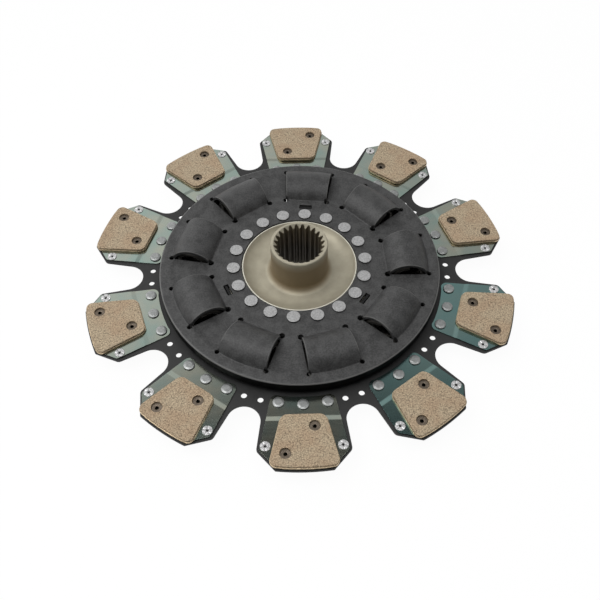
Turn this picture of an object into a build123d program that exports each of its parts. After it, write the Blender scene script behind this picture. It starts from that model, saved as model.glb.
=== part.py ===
from build123d import *
import os
from math import acos, atan2, cos, degrees, hypot, radians, sin, sqrt, tan

# Clutch disc of a heavy vehicle: a sprung hub between two pressed covers, and a
# ten-armed carrier disc with a sintered pad on both sides of each arm.
# Z is the hub axis, the long collar points up, the first arm points along +Y,
# and z = 0 is the surface that the disc lies on. Angles run clockwise from above.
# The sizes grow outwards: the hub sets the drive plate, that sets the springs'
# place, and the springs set the covers and the inner edge of the cushion plates.

# Hub
collar_height = 42.8
collar_radius = 28.1
collar_chamfer = 1.0
boss_depth = 19.0
boss_radius = 30.0
dish_front = 3.0
dish_rear = 5.0
dish_turn = 50.5
dish_width = 6.9
dish_round = 16.0
foot_round = 8.0
lip_width = 1.0
lip_rise = 2.1
flange_edge = 7.95
spline_count = 24
spline_tip = 22.0
spline_depth = 3.0
spline_turn = 9.7
groove_half_tip = 1.75
groove_half_root = 1.35
lug_count = 6
lug_length = 8.0
lug_half_angle = 6.0
lug_clearance = 0.5

# Hub rivets: place outside the lip, shank and head radius, rise above the covers
hub_rivet_count = 18
hub_rivet_inset = 8.65
hub_rivet_shank = 4.5
hub_rivet_head = 6.6
hub_rivet_rise = 1.6

# Drive plate and the joint's travel
drive_thickness = 10.0
drive_clearance = 2.0
notch_clearance = 2.0
window_bridge = 3.7
damper_limit = 5.0
stop_clearance = 0.3
window_clearance = 0.3

# Damper springs
spring_count = 9
spring_diameter = 39.0
spring_wire = 6.0
spring_turns = 4.5
spring_seat = 0.3

# Covers, with slits that lean outwards at both sides of each spring
roof_gap = 1.6
cover_sheet = 3.0
cover_edge = 13.0
cover_lap = 0.6
cover_chamfer = 1.2
cover_spread = 17.0
rim_end = 1.0
rim_clearance = 1.5
slit_half_middle = 23.24
slit_lean = 0.0858
cover_turn = 6.1

# Carrier disc with its arms: their reach past the cover, then inwards from their ends
arm_count = 10
arm_sheet = 2.0
arm_reach = 75.9
arm_end_half = 25.6
shoulder_half = 42.2
shoulder_drop = 20.6
shoulder_round = 5.0
gap_drop = 41.2
gap_round = 15.5
gap_hole_radius = 2.8
gap_hole_bridge = 9.3
gap_hole_angle = 3.05
disc_bore_inset = 3.5
disc_window_clearance = 1.8

# Pads: the holes are given across the arm and inwards from the pad's own ends
backing = 2.0
friction = 2.15
pad_end = 0.9
pad_length = 52.7
pad_inner_half = 20.45
pad_inner_round = 8.0
pad_outer_half = 32.05
pad_outer_round = 6.5
pad_hole_radius = 5.2
pad_inner_hole = (-9.8, 12.4)
pad_outer_hole = (16.5, 14.1)
rear_pad_inset = 4.0

# Cushion plates, which are cranked under the inner end of the pads
plate_sheet = 1.0
plate_crank = 0.5
crank_lap = 1.0
crank_length = 3.5
plate_gap = 3.4
plate_inner_half = 28.85
plate_inner_round = 6.0
plate_end = 3.9
plate_outer_half = 26.6
plate_shoulder_half = 39.7
plate_shoulder_drop = 16.1
plate_shoulder_round = 4.0

# Friction rings of the damper
ring_clearance = 1.0
ring_width = 8.0
front_ring_sheet = 1.5
pressure_ring_sheet = 1.0
pressure_ring_lap = 0.5
tab_count = 3
tab_inset = 1.9
tab_edge = 0.35
tab_width = 12.0
tab_thickness = 2.5
tab_gap = 1.0
slot_clearance = 0.5

# Drive rivets: place outside the springs' circle, shank and head radius, rises
drive_rivet_offset = 10.5
drive_rivet_shank = 4.0
drive_rivet_head = 6.0
drive_rivet_rise = 1.8
drive_rivet_tail = 1.0

# Number of chords or sides in rounds, few where a piece repeats
turn_chord_count = 2
corner_chord_count = 2
plate_chord_count = 1
gap_chord_count = 5
roof_chord_count = 6
ring_side_count = 24
side_per_pocket_count = 5
head_side_count = 6
hole_side_count = 6
shank_side_count = 4
wire_chord_count = 6

# Distances from the hub axis
spline_root = spline_tip + spline_depth
lip_radius = dish_turn + dish_width
hub_rivet_reach = lip_radius + hub_rivet_inset
flange_radius = hub_rivet_reach + flange_edge
drive_bore = flange_radius + drive_clearance
lug_radius = flange_radius + lug_length
notch_radius = lug_radius + notch_clearance
spring_radius = spring_diameter / 2
spring_reach = notch_radius + window_bridge + window_clearance + spring_radius
cover_bore = lip_radius + cover_lap
cover_radius = spring_reach + spring_radius + cover_edge
drive_radius = cover_radius - cover_sheet - rim_clearance
drive_rivet_reach = spring_reach + drive_rivet_offset
ring_outer = spring_reach - spring_radius - ring_clearance
ring_inner = ring_outer - ring_width
tab_reach = ring_inner - tab_inset
pressure_ring_outer = ring_outer + pressure_ring_lap
pressure_ring_inner = tab_reach - tab_thickness / 2 - tab_edge
disc_bore = spring_reach - disc_bore_inset
disc_radius = cover_radius + arm_reach
gap_reach = disc_radius - gap_drop
gap_hole_reach = gap_reach - gap_round - gap_hole_bridge
shoulder_reach = disc_radius - shoulder_drop
pad_outer = disc_radius - pad_end
pad_inner = pad_outer - pad_length
plate_inner = cover_radius + plate_gap
plate_outer = disc_radius - plate_end
plate_shoulder_reach = plate_outer - plate_shoulder_drop
crank_start = pad_inner + crank_lap
crank_end = crank_start + crank_length

# Heights, worked out from the springs and measured from the damper's middle plane
roof_inner = spring_radius + roof_gap
roof_outer = roof_inner + cover_sheet
middle = roof_outer
cover_inner = cover_spread / 2
cover_outer = cover_inner + cover_sheet
drive_half = drive_thickness / 2
arm_top = -drive_half
arm_bottom = arm_top - arm_sheet
arm_middle = (arm_top + arm_bottom) / 2
plate_top = arm_top + plate_crank + plate_sheet
pocket_pitch = 360 / spring_count
arm_pitch = 360 / arm_count


def polar(radius, angle):
    """Point at a clockwise angle from +Y, in degrees."""
    return (radius * sin(radians(angle)), radius * cos(radians(angle)))


def turned(shape, angle):
    """Shape turned clockwise about the hub axis."""
    return Rot(0, 0, -angle) * shape


def ring_of(shape, count, start=0.0):
    """Copies of a shape, evenly spaced about the hub axis."""
    return [turned(shape, start + 360 * number / count) for number in range(count)]


def arc_chords(radius, start, end, chords, centre=(0.0, 0.0)):
    """Points along an arc between two clockwise angles."""
    points = []
    for number in range(chords + 1):
        x, y = polar(radius, start + (end - start) * number / chords)
        points.append((centre[0] + x, centre[1] + y))
    return points


def rounded_corner(before, corner, after, radius, chords):
    """Points of a round that replaces a sharp corner."""
    back = Vector(*before) - Vector(*corner)
    ahead = Vector(*after) - Vector(*corner)
    half = radians(back.get_angle(ahead)) / 2
    reach = radius / tan(half)
    centre = Vector(*corner) + (back.normalized() + ahead.normalized()).normalized() * (radius / sin(half))
    first = Vector(*corner) + back.normalized() * reach - centre
    last = Vector(*corner) + ahead.normalized() * reach - centre
    sweep_angle = first.get_signed_angle(last, Vector(0, 0, 1))
    points = []
    for number in range(chords + 1):
        spoke = first.rotate(Axis.Z, sweep_angle * number / chords)
        points.append((centre.X + spoke.X, centre.Y + spoke.Y))
    return points


def mirrored(points):
    """Points of the other half of a symmetric outline, in running order."""
    return [(-x, y) for x, y in reversed(points)]


def block(points, low, high):
    """Closed outline drawn up between two heights."""
    return Pos(0, 0, low) * extrude(Polygon(*points, align=None), amount=high - low, dir=(0, 0, 1))


def post(radius, sides, low, high):
    """Upright bar with few sides."""
    return Pos(0, 0, low) * extrude(RegularPolygon(radius, sides), amount=high - low)


def lathe(profile):
    """Round body with many flat sides, from an outline of (radius, height) points."""
    half = pocket_pitch / side_per_pocket_count / 2
    faces = []
    for start, end in zip(profile, profile[1:] + profile[:1]):
        corners = [(*polar(radius, angle), height) for (radius, height), angle in (
            (start, -half), (end, -half), (end, half), (start, half))]
        face = Face(Wire.make_polygon(corners))
        faces += ring_of(face, spring_count * side_per_pocket_count, cover_turn)
    return Solid(Shell(faces)).clean()


def turned_over(shape):
    """Shape on the rear side of an arm, turned over about the arm's own length."""
    return Pos(0, 0, 2 * arm_middle) * Rot(0, 180, 0) * shape


def rivet(shank, head, low, high, rise, tail_rise):
    """Rivet that closes the sheets between two heights."""
    body = post(shank, shank_side_count, low, high)
    body += post(head, head_side_count, high, high + rise)
    body += post(head, head_side_count, low - tail_rise, low)
    return body


def placed(shape, reach, angle):
    """Upright shape moved out from the hub axis and turned into its place."""
    return turned(Pos(0, reach, 0) * shape, angle)


def slit_half(reach, clearance=0.0):
    """Half width of a spring's window, whose ends lean as the slits do."""
    return slit_half_middle + slit_lean * (reach - spring_reach) + clearance


def window(inner, outer, clearance, low, high):
    """Solid of a spring's window between two distances from the hub axis."""
    outline = [(slit_half(inner, clearance), inner), (slit_half(outer, clearance), outer)]
    return block(mirrored(outline) + outline, low, high)


def lying_arch(radius, half_length):
    """Half round bar across the arm direction, over the spring's axis."""
    section = Polygon(*arc_chords(radius, -90, 90, roof_chord_count), align=None)
    bar = extrude(Plane.YZ * section, amount=half_length, both=True)
    return Pos(0, spring_reach, 0) * bar


def cover(with_rim, turn):
    """Pressed cover with its spring pockets, on the front side of the middle plane."""
    inner_radius = cover_radius - cover_sheet
    profile = [(cover_bore, cover_inner)]
    if with_rim:
        profile += [(inner_radius, cover_inner), (inner_radius, rim_end), (cover_radius, rim_end)]
    else:
        profile += [(cover_radius, cover_inner)]
    profile += [(cover_radius, cover_outer - cover_chamfer), (cover_radius - cover_chamfer, cover_outer)]
    profile += [(cover_bore, cover_outer)]
    plate = lathe(profile)

    past = roof_outer + cover_sheet
    footprint = window(spring_reach - past, spring_reach + past, 0.0, cover_inner, past)
    roof = lying_arch(roof_outer, past) & footprint
    hollow = lying_arch(roof_inner, past) & window(
        spring_reach - past, spring_reach + past, 0.0, 0.0, past)
    plate += ring_of(roof, spring_count, turn)
    plate -= ring_of(hollow, spring_count, turn)

    rivet_hole = post(hub_rivet_shank, shank_side_count, cover_inner, cover_outer)
    plate -= ring_of(Pos(0, hub_rivet_reach, 0) * rivet_hole, hub_rivet_count, turn)
    return plate


def make_front_cover():
    """Front cover, with a turned rim and slots for the tabs of the pressure ring."""
    slot = Pos(0, tab_reach, cover_inner) * extrude(
        Rectangle(tab_width + 2 * slot_clearance, tab_thickness + 2 * tab_gap), amount=cover_sheet)
    return cover(True, cover_turn) - ring_of(slot, tab_count, cover_turn)


def make_rear_cover():
    """Rear cover, flat at its edge and turned over, so that its pockets face the front ones."""
    return Rot(0, 180, 0) * cover(False, -cover_turn)


def spline_bore(low, high):
    """Solid of the bore with its grooves."""
    tip_angle = degrees(groove_half_tip / spline_tip)
    root_angle = degrees(groove_half_root / spline_root)
    points = []
    for number in range(spline_count):
        centre = spline_turn + 360 * number / spline_count
        points.append(polar(spline_tip, centre - tip_angle))
        points.append(polar(spline_root, centre - root_angle))
        points.append(polar(spline_root, centre + root_angle))
        points.append(polar(spline_tip, centre + tip_angle))
    return block(points, low, high)


def make_hub():
    """Hub: splined collar, dished web, riveted flange and stop lugs."""
    front_lip = cover_inner + lip_rise
    lip_inner = lip_radius - lip_width
    foot = (collar_radius, dish_front)
    dish = (dish_turn, dish_front)
    rear_dish = (dish_turn, -dish_rear)
    profile = [(spline_tip, -boss_depth), (spline_tip, collar_height)]
    profile += [(collar_radius - collar_chamfer, collar_height), (collar_radius, collar_height - collar_chamfer)]
    profile += rounded_corner((collar_radius, collar_height), foot, dish, foot_round, turn_chord_count)
    profile += rounded_corner(foot, dish, (lip_inner, front_lip), dish_round, turn_chord_count)
    profile += [(lip_inner, front_lip), (lip_radius, front_lip), (lip_radius, cover_inner)]
    profile += [(flange_radius, cover_inner), (flange_radius, -cover_inner)]
    profile += [(lip_inner, -cover_inner), rear_dish]
    profile += [(boss_radius, -dish_rear), (boss_radius, -boss_depth)]
    body = lathe(profile)

    lug_half = drive_half - lug_clearance
    lug = arc_chords(lug_radius, -lug_half_angle, lug_half_angle, 1)
    lug += arc_chords(lip_radius, lug_half_angle, -lug_half_angle, 1)
    body += ring_of(block(lug, -lug_half, lug_half), lug_count, cover_turn)

    rivet_hole = post(hub_rivet_shank, shank_side_count, -cover_inner, cover_inner)
    body -= ring_of(Pos(0, hub_rivet_reach, 0) * rivet_hole, hub_rivet_count, cover_turn)
    body -= spline_bore(-boss_depth, collar_height)
    lead_in = extrude(RegularPolygon(spline_root, spline_count), amount=spline_depth, taper=45)
    return body - turned(Pos(0, 0, collar_height) * Rot(180, 0, 0) * lead_in, spline_turn)


def make_drive_plate():
    """Thick middle plate, turned by the arms, whose windows push on the springs."""
    plate = lathe([(drive_bore, -drive_half), (drive_radius, -drive_half),
                   (drive_radius, drive_half), (drive_bore, drive_half)])
    reach = spring_radius + window_clearance
    opening = window(spring_reach - reach, spring_reach + reach, window_clearance, -drive_half, drive_half)
    plate -= ring_of(opening, spring_count, cover_turn)
    notch_half = lug_half_angle + damper_limit + stop_clearance
    notch = arc_chords(notch_radius, -notch_half, notch_half, turn_chord_count)
    notch += arc_chords(lip_radius, notch_half, -notch_half, turn_chord_count)
    plate -= ring_of(block(notch, -drive_half, drive_half), lug_count, cover_turn)
    hole = post(drive_rivet_shank, shank_side_count, -drive_half, drive_half)
    plate -= ring_of(Pos(0, drive_rivet_reach, 0) * hole, spring_count, cover_turn + pocket_pitch / 2)
    return plate


def gap_outline():
    """Round bottomed gap after an arm, as points from one side to the other."""
    centre = polar(gap_reach, arm_pitch / 2)
    shoulder = (shoulder_half, shoulder_reach)
    across = hypot(shoulder[0] - centre[0], shoulder[1] - centre[1])
    bearing = degrees(atan2(shoulder[0] - centre[0], shoulder[1] - centre[1]))
    opening = degrees(acos(gap_round / across))
    start = bearing - opening
    end = -start + arm_pitch
    return arc_chords(gap_round, start + 360, end, gap_chord_count, centre)


def make_paddle_disc():
    """Carrier disc with ten arms, cut from one sheet."""
    end = (arm_end_half, sqrt(disc_radius ** 2 - arm_end_half ** 2))
    shoulder = (shoulder_half, shoulder_reach)
    gap = gap_outline()
    half = [end] + rounded_corner(end, shoulder, gap[0], shoulder_round, corner_chord_count)
    end_angle = degrees(atan2(end[0], end[1]))
    tip = arc_chords(disc_radius, -end_angle, end_angle, turn_chord_count)
    arm = mirrored(half)[:-1] + tip + half[1:] + gap
    outline = []
    for number in range(arm_count):
        for x, y in arm:
            angle = degrees(atan2(x, y)) + arm_pitch * number
            outline.append(polar(hypot(x, y), angle))
    sheet = block(outline, arm_bottom, arm_top)
    sheet -= Cylinder(disc_bore, 4 * drive_thickness)

    reach = spring_radius + disc_window_clearance
    opening = window(disc_bore - reach, spring_reach + reach, disc_window_clearance, arm_bottom, arm_top)
    sheet -= ring_of(opening, spring_count, cover_turn)
    hole = post(drive_rivet_shank, shank_side_count, arm_bottom, arm_top)
    sheet -= ring_of(Pos(0, drive_rivet_reach, 0) * hole, spring_count, cover_turn + pocket_pitch / 2)
    small_hole = post(gap_hole_radius, hole_side_count, arm_bottom, arm_top)
    for side in (-1, 1):
        hole = placed(small_hole, gap_hole_reach, arm_pitch / 2 + side * gap_hole_angle)
        sheet -= ring_of(hole, arm_count)
    return sheet


def make_plate():
    """Front cushion plate of the first arm: a cranked sheet cut to its outline."""
    outer = (plate_outer_half, sqrt(plate_outer ** 2 - plate_outer_half ** 2))
    shoulder = (plate_shoulder_half, plate_shoulder_reach)
    foot = (plate_inner_half, sqrt(plate_inner ** 2 - plate_inner_half ** 2))
    half = [outer]
    half += rounded_corner(outer, shoulder, foot, plate_shoulder_round, plate_chord_count)
    half += rounded_corner(shoulder, foot, (0.0, plate_inner), plate_inner_round, plate_chord_count)
    bow = degrees(atan2(foot[0] / 2, foot[1]))
    inner_edge = arc_chords(plate_inner, bow, -bow, turn_chord_count)
    outline = mirrored(half) + half + inner_edge
    upper = arm_top + plate_crank
    start = plate_inner / 2
    section = [(start, arm_top), (crank_start, arm_top), (crank_end, upper)]
    section += [(disc_radius, upper), (disc_radius, plate_top), (crank_end, plate_top)]
    section += [(crank_start, arm_top + plate_sheet), (start, arm_top + plate_sheet)]
    bent = extrude(Plane.YZ * Polygon(*section, align=None), amount=disc_radius / 2, both=True)
    return bent & block(outline, arm_top, plate_top)


def make_pad():
    """Front pad of the first arm: sintered layer on its backing, with two counterbores."""
    foot = (pad_inner_half, pad_inner)
    corner = (pad_outer_half, sqrt(pad_outer ** 2 - pad_outer_half ** 2))
    half = rounded_corner((0.0, pad_outer), corner, foot, pad_outer_round, corner_chord_count)
    half += rounded_corner(corner, foot, (0.0, pad_inner), pad_inner_round, corner_chord_count)
    outline = mirrored(half) + [(0.0, pad_outer)] + half
    friction_start = plate_top + backing
    pad_top = friction_start + friction
    pad = block(outline, plate_top, pad_top)
    counterbore = post(pad_hole_radius, hole_side_count, friction_start, pad_top)
    pad -= Pos(pad_inner_hole[0], pad_inner + pad_inner_hole[1], 0) * counterbore
    return pad - Pos(pad_outer_hole[0], pad_outer - pad_outer_hole[1], 0) * counterbore


def make_springs():
    """Nine coil springs, each along the chord of its pocket, with a flat half turn at both ends."""
    coil_radius = spring_radius - spring_wire / 2
    side = spring_wire * sqrt(0.5)
    travel = 2 * (slit_half(spring_reach - coil_radius) - spring_seat) - side
    steps = round(spring_turns * wire_chord_count)
    flat_steps = wire_chord_count // 2
    points = []
    for number in range(steps + 1):
        y, z = polar(coil_radius, 360 * number / wire_chord_count - 180)
        share = (number - flat_steps) / (steps - 2 * flat_steps)
        points.append((travel * (min(max(share, 0.0), 1.0) - 0.5), y, z))
    path = Polyline(*points)
    start = Plane(origin=path @ 0, z_dir=path % 0)
    coil = sweep(start * Rectangle(side, side), path=path, transition=Transition.RIGHT)
    return ring_of(Pos(0, spring_reach, 0) * coil, spring_count, cover_turn)


def ring(inner, outer, low, high):
    """Flat ring with many sides."""
    return post(outer, ring_side_count, low, high) - post(inner, ring_side_count, low, high)


def make_pressure_ring(low):
    """Ring that presses on the front friction ring, held by tabs in the cover's slots."""
    body = ring(pressure_ring_inner, pressure_ring_outer, low, low + pressure_ring_sheet)
    top = cover_outer - tab_gap
    tab = Pos(0, tab_reach, low) * extrude(Rectangle(tab_width, tab_thickness), amount=top - low)
    return body + ring_of(tab, tab_count, cover_turn)


def make_rivets():
    """Rivets that close the covers on the hub, and the arms' disc on the drive plate."""
    hub_rivet = rivet(hub_rivet_shank, hub_rivet_head, -cover_outer, cover_outer,
                      hub_rivet_rise, hub_rivet_rise)
    drive_rivet = rivet(drive_rivet_shank, drive_rivet_head, arm_bottom, drive_half,
                        drive_rivet_rise, drive_rivet_tail)
    return {
        "hub_rivets": ring_of(Pos(0, hub_rivet_reach, 0) * hub_rivet, hub_rivet_count, cover_turn),
        "drive_rivets": ring_of(Pos(0, drive_rivet_reach, 0) * drive_rivet, spring_count,
                                cover_turn + pocket_pitch / 2),
    }


def make_pieces():
    """Every node of the part by its name, each as a list of solids."""
    plate = make_plate()
    pad = make_pad()
    rear_plate = turned_over(plate)
    rear_pad = Pos(0, -rear_pad_inset, 0) * turned_over(pad)
    pressure_start = drive_half + front_ring_sheet
    spring_start = pressure_start + pressure_ring_sheet
    pieces = {
        "hub": [make_hub()],
        "front_cover": [make_front_cover()],
        "rear_cover": [make_rear_cover()],
        "drive_plate": [make_drive_plate()],
        "paddle_disc": [make_paddle_disc()],
        "springs": make_springs(),
        "front_friction_ring": [ring(ring_inner, ring_outer, drive_half, pressure_start)],
        "pressure_ring": [make_pressure_ring(pressure_start)],
        "disc_spring": [ring(ring_inner + slot_clearance, ring_outer, spring_start, cover_inner)],
        "rear_friction_ring": [ring(ring_inner, ring_outer, -cover_inner, -drive_half)],
    }
    pieces.update(make_rivets())
    for number in range(arm_count):
        angle = arm_pitch * number
        label = f"{number + 1:02d}"
        pieces["front_plate_" + label] = [turned(plate, angle)]
        pieces["front_pad_" + label] = [turned(pad, angle)]
        pieces["rear_plate_" + label] = [turned(rear_plate, angle)]
        pieces["rear_pad_" + label] = [turned(rear_pad, angle)]
    return pieces


os.makedirs("parts", exist_ok=True)
for name, solids in make_pieces().items():
    group = Compound(children=[Pos(0, 0, middle) * solid for solid in solids])
    export_step(group, f"parts/{name}.step")
    print(name, len(group.solids()), round(group.volume))
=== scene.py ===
"""Visual model of a heavy clutch disc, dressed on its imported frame."""

from math import acos, atan2, cos, degrees, hypot, pi, radians, sin, sqrt, tan
from types import SimpleNamespace

import bmesh
import bpy
from bpy.props import FloatProperty, FloatVectorProperty, IntProperty, PointerProperty
from mathutils import Matrix, Vector


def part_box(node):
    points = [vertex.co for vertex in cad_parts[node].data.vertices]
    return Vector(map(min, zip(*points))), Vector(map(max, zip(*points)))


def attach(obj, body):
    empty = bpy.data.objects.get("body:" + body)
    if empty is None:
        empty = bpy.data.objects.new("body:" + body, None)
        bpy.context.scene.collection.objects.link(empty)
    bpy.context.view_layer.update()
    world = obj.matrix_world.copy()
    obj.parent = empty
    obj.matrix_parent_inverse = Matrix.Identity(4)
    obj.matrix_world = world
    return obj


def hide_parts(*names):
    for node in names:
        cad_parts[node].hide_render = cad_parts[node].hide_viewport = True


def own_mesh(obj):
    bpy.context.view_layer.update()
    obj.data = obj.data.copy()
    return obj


bl_info = {
    "name": "Clutch disc",
    "version": (1, 0, 0),
    "blender": (4, 5, 0),
    "location": "View3D > Sidebar > Clutch disc",
    "description": "Covers, hub, arms, pads, rivets and springs of a ten-armed clutch disc",
    "category": "Object",
}

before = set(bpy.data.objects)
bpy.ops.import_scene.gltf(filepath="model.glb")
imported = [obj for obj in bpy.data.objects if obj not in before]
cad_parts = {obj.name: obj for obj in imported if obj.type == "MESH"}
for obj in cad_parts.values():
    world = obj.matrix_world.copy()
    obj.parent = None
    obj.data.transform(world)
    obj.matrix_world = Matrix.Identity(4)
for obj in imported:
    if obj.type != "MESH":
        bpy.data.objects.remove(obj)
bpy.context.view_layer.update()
drive_low, drive_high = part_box("drive_plate")

# Lengths inside the functions are millimetres, and heights count from the damper's
# middle plane, which is the middle of the drive plate. One step at the end turns
# them to metres. Angles run clockwise from +Y, seen from the collar's end.
middle = (drive_low.z + drive_high.z) * 500
drive_half = (drive_high.z - drive_low.z) * 500

# Number of sides of round pieces and holes
hub_sides = 192
cover_sides = 270
cone_sides = 144
rivet_sides = 40
dome_sides = 36
tube_sides = 32
counterbore_sides = 32
backing_bore_sides = 24
hole_sides = 20
wire_sides = 12

# A height above every roof, to which the tools that cut the covers reach
cutter_top = 40.0


def length(name, millimetres, description):
    """Setting for a length, shown in the scene's own unit."""
    return FloatProperty(name=name, description=description, default=millimetres / 1000,
                         unit="LENGTH", precision=5)


def turn_angle(name, value, description):
    """Setting for an angle, given in degrees."""
    return FloatProperty(name=name, description=description, default=radians(value),
                         unit="ROTATION", subtype="ANGLE")


def linear(code):
    """Linear colour of an sRGB hex value."""
    channels = []
    for start in (0, 2, 4):
        share = int(code[start:start + 2], 16) / 255
        channels.append(share / 12.92 if share <= 0.04045 else ((share + 0.055) / 1.055) ** 2.4)
    return (*channels, 1.0)


def tint(name, code, description):
    """Setting for a colour, given as an sRGB hex value."""
    return FloatVectorProperty(name=name, description=description, default=linear(code),
                               subtype="COLOR", size=4, min=0.0, max=1.0)


class ClutchHub(bpy.types.PropertyGroup):
    """Sizes of the splined hub."""
    collar_height: length("Collar height", 42.8, "From the middle plane to the top of the collar")
    collar_radius: length("Collar radius", 28.1, "Outside of the collar")
    collar_chamfer: length("Collar chamfer", 0.9, "Chamfer round the collar's top")
    foot_round: length("Foot round", 7.0, "Round between the collar and the dish")
    dish_height: length("Dish height", 3.0, "Height of the dish round the collar")
    dish_round: length("Dish round", 18.0, "Round where the dish rises to its lip")
    dish_turn: length("Dish turn", 50.5, "Radius where the dish starts to rise")
    lip_radius: length("Lip radius", 57.4, "Outside of the bright lip")
    lip_width: length("Lip width", 1.0, "Width of the lip's flat top")
    lip_rise: length("Lip rise", 2.1, "Height of the lip above the flange")
    flange_radius: length("Flange radius", 74.0, "Riveted flange between the covers")
    rear_dish: length("Rear dish", 5.0, "Depth of the rear dish from the middle plane")
    boss_radius: length("Boss radius", 30.0, "Rear boss")
    boss_depth: length("Boss depth", 19.0, "From the middle plane to the end of the rear boss")
    spline_tip: length("Spline tip", 22.0, "Radius at the top of the teeth")
    spline_root: length("Spline root", 25.0, "Radius at the bottom of the grooves")
    groove_half_tip: length("Groove mouth", 2.2, "Half width of a groove at the tip radius")
    groove_half_root: length("Groove floor", 1.05, "Half width of a groove at the root radius")
    spline_count: IntProperty(name="Spline grooves", description="Number of grooves", default=24, min=6)
    spline_turn: turn_angle("Spline turn", 9.7, "Angle of the first groove")
    lug_radius: length("Lug radius", 82.0, "Stop lugs inside the damper")
    lug_count: IntProperty(name="Lugs", description="Number of stop lugs", default=6, min=2)


class ClutchCovers(bpy.types.PropertyGroup):
    """Sizes of the pressed covers and their spring pockets."""
    radius: length("Radius", 140.0, "Outside of both covers")
    bore: length("Bore", 58.0, "Hole round the hub's lip")
    sheet: length("Sheet", 3.0, "Thickness of the pressed sheet")
    inner_face: length("Inner face", 8.5, "Height of the sheet's inner face")
    rim_end: length("Rim end", 1.0, "Height of the lower edge of the front rim")
    edge_round: length("Edge round", 2.3, "Round where the sheet turns into the rim")
    channel_inner: length("Channel start", 87.2, "Inner radius of the shallow channel")
    channel_outer: length("Channel end", 128.6, "Outer radius of the shallow channel")
    channel_depth: length("Channel depth", 0.7, "How far the sheet is pressed down between the pockets")
    roof_radius: length("Roof radius", 24.1, "Outside of a pocket's arched roof")
    foot_round: length("Roof foot", 1.6, "Round where a roof meets the sheet")
    end_round: length("Roof end", 0.7, "Soft edge at the two ends of a roof")
    roof_foot: length("Roof's outer foot", 128.7, "Radius that a roof's outer foot follows")
    slit_half: length("Slit half width", 23.24, "Half width of a pocket at the springs' circle")
    slit_lean: FloatProperty(name="Slit lean", description="Growth of the half width outwards",
                             default=0.0858)
    slit_gap: length("Slit gap", 0.6, "Gap between a roof's end and the sheet")
    relief_inner: length("Inner relief hole", 2.9, "Radius of the holes at the slits' inner ends")
    relief_outer: length("Outer relief hole", 2.4, "Radius of the holes at the slits' outer ends")
    slot_reach: length("Slot reach", 77.1, "Place of the three slots")
    slot_width: length("Slot width", 13.4, "Length of a slot round the hub")
    slot_depth: length("Slot depth", 5.4, "Width of a slot")
    turn: turn_angle("Turn", 6.1, "Angle of the first pocket")


class ClutchSprings(bpy.types.PropertyGroup):
    """Sizes of the damper springs."""
    count: IntProperty(name="Springs", description="Number of springs and pockets", default=9, min=3)
    reach: length("Reach", 107.5, "Radius of the springs' circle")
    diameter: length("Diameter", 39.0, "Outside of a spring")
    wire: length("Wire", 6.0, "Diameter of the wire")
    seat: length("Seat", 0.3, "Room between a spring and its window")
    slack: length("Slack", 0.7, "How much slimmer a spring is, so that it can tilt in its window")
    turns: FloatProperty(name="Turns", description="Turns of wire in a spring", default=4.5)
    keep: FloatProperty(name="Kept length", description="Share of a spring's length left at the stop",
                        default=0.78, subtype="FACTOR", min=0.1, max=1.0)


class ClutchArms(bpy.types.PropertyGroup):
    """Sizes of the carrier disc and its arms."""
    count: IntProperty(name="Arms", description="Number of arms", default=10, min=3)
    radius: length("Radius", 215.9, "Reach of the arms' ends")
    sheet: length("Sheet", 2.0, "Thickness of the carrier disc")
    end_half: length("End half width", 25.6, "Half width of an arm's end")
    shoulder_half: length("Shoulder half width", 42.2, "Half width at an arm's shoulders")
    shoulder_reach: length("Shoulder reach", 195.3, "Place of the shoulders")
    shoulder_round: length("Shoulder round", 5.0, "Round of the shoulders")
    gap_reach: length("Gap reach", 174.7, "Centre of the round between two arms")
    gap_round: length("Gap round", 15.5, "Radius of the round between two arms")
    hole_radius: length("Hole radius", 2.8, "Radius of the small holes by the gaps")
    hole_reach: length("Hole reach", 149.9, "Place of the small holes")
    hole_angle: turn_angle("Hole angle", 3.05, "Angle between a gap's middle and a hole")
    bore: length("Bore", 104.0, "Hole in the middle, inside the damper")


class ClutchPlates(bpy.types.PropertyGroup):
    """Sizes of the cushion plates."""
    sheet: length("Sheet", 1.0, "Thickness of a cushion plate")
    crank: length("Crank", 0.5, "Height of the crank under the pads")
    crank_start: length("Crank start", 162.3, "Inner line of the crank")
    crank_end: length("Crank end", 167.8, "Outer line of the crank")
    inner: length("Inner edge", 143.4, "Radius of the inner edge")
    inner_half: length("Inner half width", 28.85, "Half width of the inner edge")
    inner_round: length("Inner round", 6.0, "Round of the inner corners")
    shoulder_half: length("Shoulder half width", 39.7, "Half width at the shoulders")
    shoulder_reach: length("Shoulder reach", 195.9, "Place of the shoulders")
    shoulder_round: length("Shoulder round", 4.0, "Round of the shoulders")
    outer: length("Outer edge", 212.0, "Radius of the outer edge")
    outer_half: length("Outer half width", 26.6, "Half width of the outer edge")
    teal_turn: turn_angle("Teal plates", 126.0, "Middle of the two arms whose plates are blue-green")
    teal_half: turn_angle("Teal half angle", 36.0, "Angle from that middle to their edges")


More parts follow.
